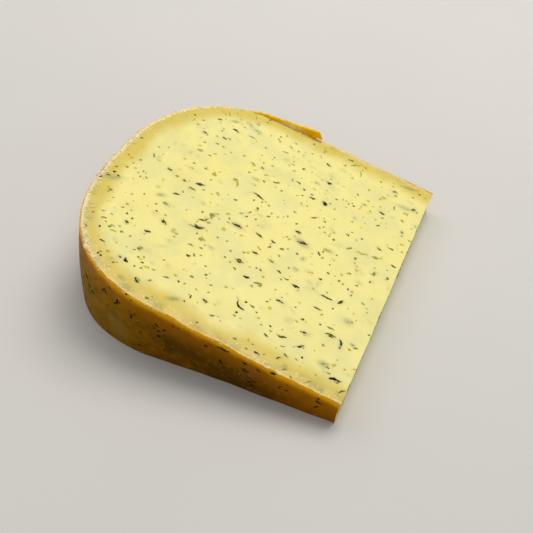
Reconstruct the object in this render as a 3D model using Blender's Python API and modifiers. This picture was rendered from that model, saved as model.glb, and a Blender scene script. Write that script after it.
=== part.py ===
"""A wedge of semi-hard cheese with herbs, cut from a wheel and lying on one cut face.

The wheel's axis runs along Y, the tip points to +X and the curved rim to -X.
All lengths are in metres, Z is up, and the lower cut face lies on z = 0.
"""
import math
import random

import bmesh
import bpy
from mathutils import Matrix, Vector, noise

# Driving dimensions of the wheel and of the cut
WHEEL_HEIGHT = 0.100
RIM_RADIUS = 0.1339
TIP_RADIUS = 0.0383
WEDGE_ANGLE = math.radians(12.28)
SHOULDER_DEPTH = 0.0414
SHOULDER_POWER = 2.45

# The wheel's axis, placed so that the wedge's box is centred on the origin
AXIS_X = (RIM_RADIUS + TIP_RADIUS * math.cos(WEDGE_ANGLE)) / 2
HALF_HEIGHT = WHEEL_HEIGHT / 2
SHOULDER_START = RIM_RADIUS - SHOULDER_DEPTH

# Fineness of the wedge's mesh
CELLS_TO_RIM = 31
CELLS_ACROSS = 32
CELLS_IN_ANGLE = 5
EDGE_CROWDING = 0.5
OUTLINE_SAMPLES = 600
RIM_SHARE = 0.42

# Relief of the rind, of the knife's cut and of the crumbly edge
RIND_SWELL = 0.00040
RIND_SWELL_SPAN = 0.022
RIND_DENT = 0.00014
RIND_DENT_SPAN = 0.007
RELIEF_REACH = 0.006
FACE_SWELL = 0.00030
FACE_SWELL_SPAN = 0.026
KNIFE_WAVE = 0.00010
KNIFE_WAVE_SPAN = 0.017
EDGE_DROP = 0.00050
EDGE_DROP_WIDTH = 0.0032
TIP_SWELL = 0.00020
TIP_SWELL_SPAN = 0.013
TIP_RELIEF_REACH = 0.004

# The torn lip of rind that stands up along the far edge of the upper cut face
LIP_RIM_END = 0.1065
LIP_TIP_END = 0.0822
LIP_LOW = 0.0002
LIP_HIGH = 0.0024
LIP_RISE_POWER = 1.2
LIP_WAVE = 0.12
LIP_WAVE_SPAN = 0.12
LIP_ROOT = 0.0012
LIP_THICKNESS = 0.0013
LIP_LEAN = 0.0005
LIP_PROUD = 0.00015
LIP_GAP = 0.0006
LIP_GAP_LENGTH = 0.0035
LIP_GAP_STEEPNESS = 1.6
LIP_SLANT = 0.0008
LIP_CELLS = 16

# Herb flakes that show from a step away
FLAKE_SEED = 41
FLAKE_COUNT = 72
FLAKE_LENGTHS = (0.0012, 0.0024)
FLAKE_ASPECTS = (0.42, 0.75)
FLAKE_PROUD = 0.00016
FLAKE_ROOT = 0.00035
FLAKE_SIDES = 6
FLAKE_TOP_SHARE = 0.84
FLAKE_LENGTH_SPREAD = (0.86, 1.12)
FLAKE_WIDTH_SPREAD = (0.80, 1.15)
FLAKE_MARGIN = 0.0030
FLAKE_SPACING = 0.0009
FLAKE_TURN = math.radians(24)
TIP_FLAKE_SEED = 23
TIP_FLAKE_COUNT = 9
TIP_FLAKE_PROUD = 0.00010
TIP_FLAKE_ASPECT = 0.5
TIP_FLAKE_SPAN = 0.94
TIP_FLAKE_RISES = (0.22, 0.78)
TIP_FLAKE_TURN = math.radians(90)

# The view of the wedge in which the largest flakes were read: lengths in metres, the picture in pixels
VIEW_TARGET = (0.00744, -0.00152, 0.0)
VIEW_AZIMUTH = math.radians(20.23)
VIEW_ELEVATION = math.radians(42.81)
VIEW_DISTANCE = 0.24953
VIEW_ROLL = math.radians(3.65)
PICTURE_SIDE = 533
LENS_TO_SENSOR = 52.34 / 36

# The largest flakes in that view: the pixels at both ends of each, and its width in mm
LARGE_FLAKES = (
    (252.9, 192.3, 264.3, 201.2, 0.6), (297.6, 240.3, 307.6, 246.1, 1.5), (321.3, 201.5, 327.0, 206.0, 1.7),
    (295.0, 231.0, 300.6, 234.5, 1.1), (234.4, 258.5, 243.5, 264.2, 1.5), (243.0, 276.2, 249.7, 278.6, 0.8),
    (255.8, 232.0, 262.2, 238.4, 0.6), (232.0, 223.1, 242.1, 228.4, 0.8), (291.8, 284.3, 298.5, 289.6, 0.9),
    (320.1, 294.8, 332.5, 300.6, 0.6), (337.3, 303.0, 344.5, 301.8, 1.0), (313.4, 306.8, 322.0, 310.6, 0.5),
    (275.6, 299.9, 284.2, 303.7, 0.7), (238.7, 299.3, 244.5, 310.6, 0.7), (202.0, 300.0, 208.0, 303.0, 1.2),
    (324.6, 334.6, 335.9, 338.1, 0.9), (339.9, 339.4, 339.9, 348.9, 0.7), (276.3, 333.6, 286.8, 337.4, 0.7),
    (296.4, 346.2, 305.0, 345.6, 0.7), (328.0, 378.1, 341.8, 382.1, 0.8), (188.4, 225.3, 205.1, 227.7, 1.0),
    (197.5, 219.0, 206.6, 221.0, 0.6), (160.7, 218.6, 166.9, 224.3, 1.0), (143.9, 229.6, 151.1, 232.0, 0.8),
    (195.1, 182.7, 205.1, 187.0, 1.0), (232.9, 128.7, 240.1, 133.0, 0.8), (379.0, 211.5, 384.7, 214.9, 0.8),
    (309.0, 197.3, 315.8, 199.2, 0.6), (325.8, 181.3, 331.5, 184.8, 1.0), (319.0, 363.0, 328.5, 365.3, 1.0),
)

# Crumbs and tufts of bloom along the rim of the upper cut face
CRUMB_SEED = 17
CRUMB_COUNT = 42
CRUMB_RADII = (0.00032, 0.00090)
CRUMB_INSET = 0.0007
CRUMB_ROOT = -0.00010
CRUMB_SPACING = 0.0019
CRUMB_INSET_SPREAD = (0.4, 3.0)
CRUMB_UNEVENNESS = (0.75, 1.15)
CRUMB_FLATNESS = 0.75
CRUMB_RUN = (-0.0470, 0.0450)
CRUMB_HEAPS = (-0.0385, -0.0290, -0.0125, 0.0060, 0.0360, 0.0420)
HEAP_SPREAD = 0.0022

# Colours as seen in daylight, 0 to 255
PASTE_COLOUR = (240, 225, 148)
RIND_COLOUR = (190, 126, 24)
HERB_COLOUR = (58, 66, 28)


def linear(colour):
    """The linear RGBA of a colour given as 0 to 255 display values."""
    shares = [value / 255 for value in colour]
    bent = [s / 12.92 if s <= 0.04045 else ((s + 0.055) / 1.055) ** 2.4 for s in shares]
    return (*bent, 1.0)


def plain_material(name, colour, roughness):
    """A Principled BSDF material with one colour."""
    material = bpy.data.materials.new(name)
    material.use_nodes = True
    shader = material.node_tree.nodes["Principled BSDF"]
    shader.inputs["Base Color"].default_value = linear(colour)
    shader.inputs["Roughness"].default_value = roughness
    shader.inputs["Metallic"].default_value = 0.0
    material.diffuse_color = linear(colour)
    return material


def new_object(name, mesh_builder, collection, materials):
    """An object in the collection whose mesh is what the finished bmesh holds."""
    mesh = bpy.data.meshes.new(name)
    mesh_builder.to_mesh(mesh)
    mesh_builder.free()
    for material in materials:
        mesh.materials.append(material)
    piece = bpy.data.objects.new(name, mesh)
    collection.objects.link(piece)
    return piece


def rim_radius(across):
    """Distance of the rind from the wheel's axis at a height along the axis."""
    share = min(1.0, abs(across) / HALF_HEIGHT)
    return SHOULDER_START + SHOULDER_DEPTH * (1 - share**SHOULDER_POWER) ** (1 / SHOULDER_POWER)


def half_width(radius):
    """Half the wheel's height at a distance from its axis."""
    share = min(1.0, max(0.0, (radius - SHOULDER_START) / SHOULDER_DEPTH))
    return HALF_HEIGHT * (1 - share**SHOULDER_POWER) ** (1 / SHOULDER_POWER)


def rind_measure(radius, across):
    """Depth below the rind, and the outward direction there as (radial, across)."""
    power = SHOULDER_POWER
    outward = max(0.0, (radius - SHOULDER_START) / SHOULDER_DEPTH)
    sideways = max(1e-6, abs(across) / HALF_HEIGHT)
    level = (outward**power + sideways**power) ** (1 / power)
    slope = level ** (1 - power)
    radial = slope * outward ** (power - 1) / SHOULDER_DEPTH
    axial = slope * sideways ** (power - 1) / HALF_HEIGHT
    steepness = math.hypot(radial, axial)
    direction = (radial / steepness, math.copysign(axial / steepness, across))
    return (1 - level) / steepness, direction


def crowded(share, both_ends):
    """Spread even steps so that they crowd towards the rind."""
    if both_ends:
        return share - EDGE_CROWDING * math.sin(2 * math.pi * share) / (2 * math.pi)
    return share + EDGE_CROWDING * math.sin(math.pi * share) / math.pi


def outline_points():
    """The rind's outline in the section, from the front of the tip round to its back."""
    points = [(TIP_RADIUS, -HALF_HEIGHT)]
    for step in range(OUTLINE_SAMPLES + 1):
        turn = math.pi * (step / OUTLINE_SAMPLES - 0.5)
        radial = abs(math.cos(turn)) ** (2 / SHOULDER_POWER)
        axial = abs(math.sin(turn)) ** (2 / SHOULDER_POWER)
        across = math.copysign(axial, turn) * HALF_HEIGHT
        points.append((SHOULDER_START + SHOULDER_DEPTH * radial, across))
    points.append((TIP_RADIUS, HALF_HEIGHT))
    return points


def run_of(points):
    """Running length at each point of an open polyline."""
    lengths = [0.0]
    for first, second in zip(points, points[1:]):
        lengths.append(lengths[-1] + math.dist(first, second))
    return lengths


def point_at(points, lengths, length):
    """The point of a polyline at a running length."""
    length = min(max(length, 0.0), lengths[-1])
    index = next(i for i in range(1, len(lengths)) if lengths[i] >= length)
    span = lengths[index] - lengths[index - 1]
    share = (length - lengths[index - 1]) / span if span else 0.0
    first, second = points[index - 1], points[index]
    return tuple(a + (b - a) * share for a, b in zip(first, second))


def section_map():
    """A function from (to the rim, across) in 0..1 to a point of the wheel's section."""
    points = outline_points()
    lengths = run_of(points)
    corner = lengths[-1] * (1 - RIM_SHARE) / 2
    rim_span = lengths[-1] - 2 * corner

    def front(share):
        return Vector(point_at(points, lengths, corner * share))

    def rim(share):
        return Vector(point_at(points, lengths, corner + rim_span * share))

    def back(share):
        return Vector(point_at(points, lengths, lengths[-1] - corner * share))

    def tip(share):
        return Vector((TIP_RADIUS, HALF_HEIGHT * (2 * share - 1)))

    def place(outward, across):
        blend_sides = front(outward) * (1 - across) + back(outward) * across
        blend_ends = tip(across) * (1 - outward) + rim(across) * outward
        corners = (tip(0) * (1 - across) + tip(1) * across) * (1 - outward)
        corners += (rim(0) * (1 - across) + rim(1) * across) * outward
        return blend_sides + blend_ends - corners

    return place


def face_frame(radius, across, angle=WEDGE_ANGLE):
    """A frame on a radial cut: X towards the tip, Y across, Z out of the upper face."""
    towards_tip = Vector((math.cos(angle), 0, -math.sin(angle)))
    outward = Vector((math.sin(angle), 0, math.cos(angle)))
    centre = Vector((AXIS_X, across, 0)) - towards_tip * radius
    columns = Matrix((towards_tip, Vector((0, 1, 0)), outward)).transposed()
    return Matrix.Translation(centre) @ columns.to_4x4()


def tip_frame(angle, across):
    """A frame on the tip's face: X up it, Y across, Z out of it."""
    upward = Vector((math.sin(angle), 0, math.cos(angle)))
    outward = Vector((math.cos(angle), 0, -math.sin(angle)))
    centre = Vector((AXIS_X, across, 0)) - outward * TIP_RADIUS
    columns = Matrix((upward, Vector((0, -1, 0)), outward)).transposed()
    return Matrix.Translation(centre) @ columns.to_4x4()


def wave(position, span):
    """Smooth noise between about -1 and 1 whose bumps are about a span wide."""
    return noise.noise(Vector(position) / span)


def face_height(radius, across):
    """Height of the upper cut face over its plane."""
    depth, _ = rind_measure(radius, across)
    swell = FACE_SWELL * wave((radius, across, 0.3), FACE_SWELL_SPAN)
    knife = KNIFE_WAVE * math.sin(2 * math.pi * (radius + 0.35 * across) / KNIFE_WAVE_SPAN)
    near_rind = max(0.0, 1 - depth / EDGE_DROP_WIDTH)
    crumble = 0.5 + 0.9 * wave((radius, across, 0.7), EDGE_DROP_WIDTH)
    return swell + knife - EDGE_DROP * near_rind * crumble


def rind_shift(point):
    """How far the rind stands out of its even outline at a point."""
    swell = RIND_SWELL * wave(point, RIND_SWELL_SPAN)
    return swell + RIND_DENT * wave(point, RIND_DENT_SPAN)


def add_relief(builder):
    """Move the vertices of the even wedge to its uneven rind and cut faces."""
    axis = Vector((AXIS_X, 0, 0))
    for vertex in builder.verts:
        offset = vertex.co - axis
        radius = math.hypot(offset.x, offset.z)
        angle = math.atan2(offset.z, -offset.x)
        across = offset.y
        depth, (radial, axial) = rind_measure(radius, across)
        reach = max(0.0, 1 - depth / RELIEF_REACH)
        shift = rind_shift(vertex.co) * reach
        tip_reach = max(0.0, 1 - (radius - TIP_RADIUS) / TIP_RELIEF_REACH)
        tip_shift = TIP_SWELL * tip_reach * wave((radius * angle, across, 0.1), TIP_SWELL_SPAN)
        height = face_height(radius, across) if angle > WEDGE_ANGLE * 0.999 else 0.0
        outward = Vector((-math.cos(angle), 0, math.sin(angle)))
        normal = Vector((math.sin(angle), 0, math.cos(angle)))
        vertex.co += outward * (radial * shift - tip_shift) + Vector((0, axial * shift, 0))
        vertex.co += normal * height


def wedge_body(collection, paste, rind):
    """The wedge: its section as a grid, spun about the wheel's axis and given its relief."""
    place = section_map()
    builder = bmesh.new()
    bmesh.ops.create_grid(builder, x_segments=CELLS_TO_RIM, y_segments=CELLS_ACROSS, size=0.5)
    for vertex in builder.verts:
        outward = crowded(min(1.0, max(0.0, vertex.co.x + 0.5)), False)
        across = crowded(min(1.0, max(0.0, vertex.co.y + 0.5)), True)
        radius, height = place(outward, across)
        vertex.co = (AXIS_X - radius, height, 0)
    bmesh.ops.spin(
        builder, geom=builder.verts[:] + builder.edges[:] + builder.faces[:],
        cent=(AXIS_X, 0, 0), axis=(0, 1, 0), angle=WEDGE_ANGLE, steps=CELLS_IN_ANGLE)
    bmesh.ops.remove_doubles(builder, verts=builder.verts, dist=1e-7)
    bmesh.ops.recalc_face_normals(builder, faces=builder.faces)
    add_relief(builder)
    underside = [f for f in builder.faces if all(abs(v.co.z) < 1e-7 for v in f.verts)]
    bmesh.ops.dissolve_faces(builder, faces=underside, use_verts=False)
    mark_rind(builder)
    return new_object("cheese_wedge", builder, collection, (paste, rind))


def mark_rind(builder):
    """Give the rind's faces the second material."""
    for face in builder.faces:
        centre = face.calc_center_median() - Vector((AXIS_X, 0, 0))
        depth, _ = rind_measure(math.hypot(centre.x, centre.z), centre.y)
        face.material_index = 1 if depth < RIND_SWELL * 2 and len(face.verts) == 4 else 0


def seen_on_face(x, y):
    """Where a pixel of the view meets the upper cut face, as (radius, across)."""
    level = math.cos(VIEW_ELEVATION)
    away = Vector((math.sin(VIEW_AZIMUTH) * level, -math.cos(VIEW_AZIMUTH) * level, math.sin(VIEW_ELEVATION)))
    eye = Vector(VIEW_TARGET) + away * VIEW_DISTANCE
    turned = (-away).to_track_quat("-Z", "Y").to_matrix() @ Matrix.Rotation(VIEW_ROLL, 3, "Z")
    scale = 1 / (LENS_TO_SENSOR * PICTURE_SIDE)
    middle = PICTURE_SIDE / 2
    sight = turned @ Vector(((x - middle) * scale, (middle - y) * scale, -1))
    normal = Vector((math.sin(WEDGE_ANGLE), 0, math.cos(WEDGE_ANGLE)))
    axis = Vector((AXIS_X, 0, 0))
    hit = eye + sight * ((axis - eye).dot(normal) / sight.dot(normal)) - axis
    return math.hypot(hit.x, hit.z), hit.y


def flake_list():
    """The flakes on the upper face as (radius, across, length, width, turn), largest first."""
    flakes = []
    for x_start, y_start, x_end, y_end, width in LARGE_FLAKES:
        start = seen_on_face(x_start, y_start)
        end = seen_on_face(x_end, y_end)
        middle = [(a + b) / 2 for a, b in zip(start, end)]
        turn = math.atan2(end[1] - start[1], start[0] - end[0])
        flakes.append((*middle, math.dist(start, end), width / 1000, turn))
    draw = random.Random(FLAKE_SEED)
    while len(flakes) < FLAKE_COUNT:
        radius = draw.uniform(TIP_RADIUS, RIM_RADIUS)
        across = draw.uniform(-HALF_HEIGHT, HALF_HEIGHT)
        length = draw.uniform(*FLAKE_LENGTHS)
        width = length * draw.uniform(*FLAKE_ASPECTS)
        turn = draw.gauss(0, FLAKE_TURN)
        if rind_measure(radius, across)[0] < FLAKE_MARGIN or radius < TIP_RADIUS + FLAKE_MARGIN:
            continue
        apart = [math.dist((radius, across), f[:2]) - (length + f[2]) / 2 for f in flakes]
        if min(apart) > FLAKE_SPACING:
            flakes.append((radius, across, length, width, turn))
    return flakes


def tip_flake_list():
    """The flakes on the tip's face as (angle, across, length, turn)."""
    draw = random.Random(TIP_FLAKE_SEED)
    flakes = []
    for index in range(TIP_FLAKE_COUNT):
        share = (index + 0.5) / TIP_FLAKE_COUNT
        across = HALF_HEIGHT * TIP_FLAKE_SPAN * (2 * share - 1)
        angle = WEDGE_ANGLE * draw.uniform(*TIP_FLAKE_RISES)
        length = draw.uniform(*FLAKE_LENGTHS)
        turn = TIP_FLAKE_TURN + draw.gauss(0, FLAKE_TURN)
        flakes.append((angle, across, length, turn))
    return flakes


def flake(name, frame, length, width, turn, proud, draw, collection, herb):
    """One torn leaf flake: a thin plate with uneven corners, half sunk in the cheese."""
    builder = bmesh.new()
    thickness = proud + FLAKE_ROOT
    bmesh.ops.create_cone(
        builder, cap_ends=True, segments=FLAKE_SIDES, radius1=0.5, radius2=0.5 * FLAKE_TOP_SHARE,
        depth=thickness)
    for vertex in builder.verts:
        vertex.co.x *= length * draw.uniform(*FLAKE_LENGTH_SPREAD)
        vertex.co.y *= width * draw.uniform(*FLAKE_WIDTH_SPREAD)
        vertex.co.z += (proud - FLAKE_ROOT) / 2
    bmesh.ops.transform(builder, matrix=frame @ Matrix.Rotation(turn, 4, "Z"), verts=builder.verts)
    return new_object(name, builder, collection, (herb,))


def add_flakes(collection, herb):
    """All herb flakes of the upper face and of the tip's face."""
    draw = random.Random(FLAKE_SEED + 1)
    for index, (radius, across, length, width, turn) in enumerate(flake_list()):
        lift = Matrix.Translation((0, 0, face_height(radius, across)))
        frame = face_frame(radius, across) @ lift
        name = f"flake_{index:03d}"
        flake(name, frame, length, width, turn, FLAKE_PROUD, draw, collection, herb)
    for index, (angle, across, length, turn) in enumerate(tip_flake_list()):
        frame = tip_frame(angle, across)
        width = length * TIP_FLAKE_ASPECT
        name = f"tip_flake_{index:02d}"
        flake(name, frame, length, width, turn, TIP_FLAKE_PROUD, draw, collection, herb)


def crumb_list():
    """The crumbs along the rim's edge, some in small heaps, as (radius, across, size)."""
    draw = random.Random(CRUMB_SEED)
    crumbs = []
    while len(crumbs) < CRUMB_COUNT:
        heaped = len(crumbs) % 2 == 0
        heap = CRUMB_HEAPS[len(crumbs) // 2 % len(CRUMB_HEAPS)]
        across = draw.gauss(heap, HEAP_SPREAD) if heaped else draw.uniform(*CRUMB_RUN)
        inset = CRUMB_INSET * draw.uniform(*CRUMB_INSET_SPREAD)
        size = draw.uniform(*CRUMB_RADII)
        if not CRUMB_RUN[0] < across < CRUMB_RUN[1]:
            continue
        edge = (rim_radius(across), across)
        _, (radial, axial) = rind_measure(*edge)
        place = (edge[0] - radial * inset, edge[1] - axial * inset)
        if all(math.dist(place, other[:2]) > CRUMB_SPACING for other in crumbs):
            crumbs.append((*place, size))
    return crumbs


def add_crumbs(collection, paste):
    """Crumbs torn up by the knife, and tufts of bloom, along the rim's edge."""
    draw = random.Random(CRUMB_SEED + 1)
    for index, (radius, across, size) in enumerate(crumb_list()):
        builder = bmesh.new()
        bmesh.ops.create_icosphere(builder, subdivisions=1, radius=size)
        for vertex in builder.verts:
            vertex.co *= draw.uniform(*CRUMB_UNEVENNESS)
            vertex.co.z *= CRUMB_FLATNESS
        lift = Matrix.Translation((0, 0, face_height(radius, across) + CRUMB_ROOT))
        turn = Matrix.Rotation(draw.uniform(0, math.pi), 4, "Z")
        frame = face_frame(radius, across) @ lift @ turn
        bmesh.ops.transform(builder, matrix=frame, verts=builder.verts)
        new_object(f"crumb_{index:02d}", builder, collection, (paste,))


def rind_lip(collection, rind):
    """The torn strip of rind that the knife left standing along the far edge."""
    builder = bmesh.new()
    bmesh.ops.create_grid(builder, x_segments=LIP_CELLS, y_segments=2, size=0.5)
    length = LIP_RIM_END - LIP_TIP_END
    for vertex in builder.verts:
        along = min(1.0, max(0.0, vertex.co.x + 0.5))
        rise = min(1.0, max(0.0, vertex.co.y + 0.5))
        from_tip_end = (1 - along) * length
        top = LIP_LOW + (LIP_HIGH - LIP_LOW) * along**LIP_RISE_POWER
        top += LIP_WAVE * LIP_HIGH * along * wave((along, 0.2, 0.4), LIP_WAVE_SPAN)
        loose = max(0.0, 1 - from_tip_end / LIP_GAP_LENGTH)
        foot = -LIP_ROOT + (LIP_ROOT + LIP_GAP) * min(1.0, LIP_GAP_STEEPNESS * loose)
        height = foot + (top - foot) * rise
        radius = LIP_RIM_END - length * along + LIP_SLANT * rise * along
        across = half_width(radius) + LIP_PROUD + LIP_LEAN * max(0.0, height) / LIP_HIGH
        vertex.co = face_frame(radius, across) @ Vector((0, 0, height))
    bmesh.ops.recalc_face_normals(builder, faces=builder.faces)
    lip = new_object("rind_lip", builder, collection, (rind,))
    inner = Vector((0, -1, 0))
    facing = sum((p.normal for p in lip.data.polygons), Vector()).dot(inner)
    thicken = lip.modifiers.new("Thickness", "SOLIDIFY")
    thicken.thickness = LIP_THICKNESS
    thicken.offset = 1.0 if facing > 0 else -1.0
    thicken.use_even_offset = False
    return lip


def fuse(body, collection):
    """Join all objects of the collection to the body by one union, then remove them."""
    union = body.modifiers.new("Fused pieces", "BOOLEAN")
    union.operation = "UNION"
    union.operand_type = "COLLECTION"
    union.collection = collection
    union.solver = "EXACT"
    union.material_mode = "TRANSFER"
    bpy.context.view_layer.update()
    evaluated = body.evaluated_get(bpy.context.evaluated_depsgraph_get())
    joined = bpy.data.meshes.new_from_object(evaluated)
    body.modifiers.clear()
    body.data = joined
    for piece in list(collection.objects):
        bpy.data.objects.remove(piece, do_unlink=True)
    bpy.data.collections.remove(collection)


def clean_slivers(body):
    """Merge the near-zero edges that the union leaves."""
    builder = bmesh.new()
    builder.from_mesh(body.data)
    bmesh.ops.remove_doubles(builder, verts=builder.verts, dist=2e-6)
    bmesh.ops.dissolve_degenerate(builder, dist=1e-6, edges=builder.edges)
    builder.to_mesh(body.data)
    builder.free()


def main():
    """Build the wedge and everything fused to it."""
    for old in list(bpy.data.objects):
        bpy.data.objects.remove(old, do_unlink=True)
    parts = bpy.data.collections.new("cheese_wedge")
    fused = bpy.data.collections.new("fused_pieces")
    bpy.context.scene.collection.children.link(parts)
    bpy.context.scene.collection.children.link(fused)
    paste = plain_material("paste", PASTE_COLOUR, 0.55)
    rind = plain_material("rind", RIND_COLOUR, 0.35)
    herb = plain_material("herb", HERB_COLOUR, 0.70)
    body = wedge_body(parts, paste, rind)
    rind_lip(fused, rind)
    add_flakes(fused, herb)
    add_crumbs(fused, paste)
    fuse(body, fused)
    clean_slivers(body)


main()
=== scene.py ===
"""The looks of a wedge of herb cheese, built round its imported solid.

The wheel's axis runs along Y, the tip points to +X and the curved rim to -X. The lower cut face lies on
z = 0. All lengths are in metres unless a name or a comment says millimetres.
"""
import logging
import math
import random
from dataclasses import dataclass, field, replace
from enum import Enum
from functools import partial
from typing import Iterable, Sequence

import bpy
import numpy as np
from mathutils import Matrix, Vector, kdtree, noise


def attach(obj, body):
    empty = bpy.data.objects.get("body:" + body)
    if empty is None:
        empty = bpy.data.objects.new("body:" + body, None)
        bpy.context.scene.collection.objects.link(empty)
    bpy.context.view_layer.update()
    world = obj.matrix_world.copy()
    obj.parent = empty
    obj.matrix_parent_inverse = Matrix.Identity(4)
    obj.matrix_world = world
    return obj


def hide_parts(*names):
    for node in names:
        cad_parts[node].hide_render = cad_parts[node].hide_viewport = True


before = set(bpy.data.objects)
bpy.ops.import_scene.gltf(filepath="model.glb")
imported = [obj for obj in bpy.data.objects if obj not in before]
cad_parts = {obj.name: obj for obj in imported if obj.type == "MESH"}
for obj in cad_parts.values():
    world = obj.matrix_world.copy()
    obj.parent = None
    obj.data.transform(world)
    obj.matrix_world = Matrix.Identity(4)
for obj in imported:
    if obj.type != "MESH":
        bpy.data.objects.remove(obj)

LOG = logging.getLogger("cheese_wedge")
MM = 0.001
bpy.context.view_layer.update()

# What counts as nothing, in metres or as a share
TINY = 1e-6
# Vertices less deep below the rind than this belong to its own wall
WALL_DEPTH = 0.01 * MM

Colour = tuple[int, int, int]
Band = tuple[float, float]
Numbers = np.ndarray | float
Shape = tuple[np.ndarray, list[tuple[int, ...]]]
Sockets = bpy.types.NodeSocket | float


class HerbKind(Enum):
    """The sorts of herb that show in the cheese."""

    DARK = "dark_herb_flakes"
    OLIVE = "olive_herb_bits"
    MUSTARD = "mustard_herb_bits"
    BROWN = "brown_herb_bits"
    RIND = "rind_herb_flakes"


class FlakeForm(Enum):
    """How wide a flake is along its length."""

    LENS = "lens"
    STRIP = "strip"
    WEDGE = "wedge"
    CHUNK = "chunk"


class Skin(Enum):
    """The three faces that the knife left, and the rind."""

    UPPER = "upper"
    UNDER = "under"
    TIP = "tip"
    RIND = "rind"


def waves(points: np.ndarray, span: float) -> np.ndarray:
    """Smooth noise between about -1 and 1.

    Args:
        points: One row of three coordinates for each value.
        span: The width of one bump.

    Returns:
        One value for each row.
    """
    scaled = points / span
    return np.fromiter((noise.noise(Vector(p)) for p in scaled), float, len(scaled))


def rows(*columns: Numbers) -> np.ndarray:
    """Columns, some of them constant, as one array with a row for each point."""
    return np.stack(np.broadcast_arrays(*columns), axis=-1).reshape(-1, len(columns)).astype(float)


def rotated(x: Numbers, y: Numbers, turn: float) -> tuple[Numbers, Numbers]:
    """Two coordinates turned about their origin."""
    return x * math.cos(turn) - y * math.sin(turn), x * math.sin(turn) + y * math.cos(turn)


def fade(values: np.ndarray, start: float, end: float) -> np.ndarray:
    """A smooth step from 1 at start to 0 at end."""
    share = np.clip((values - start) / (end - start), 0.0, 1.0)
    return 1.0 - share * share * (3.0 - 2.0 * share)


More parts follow.
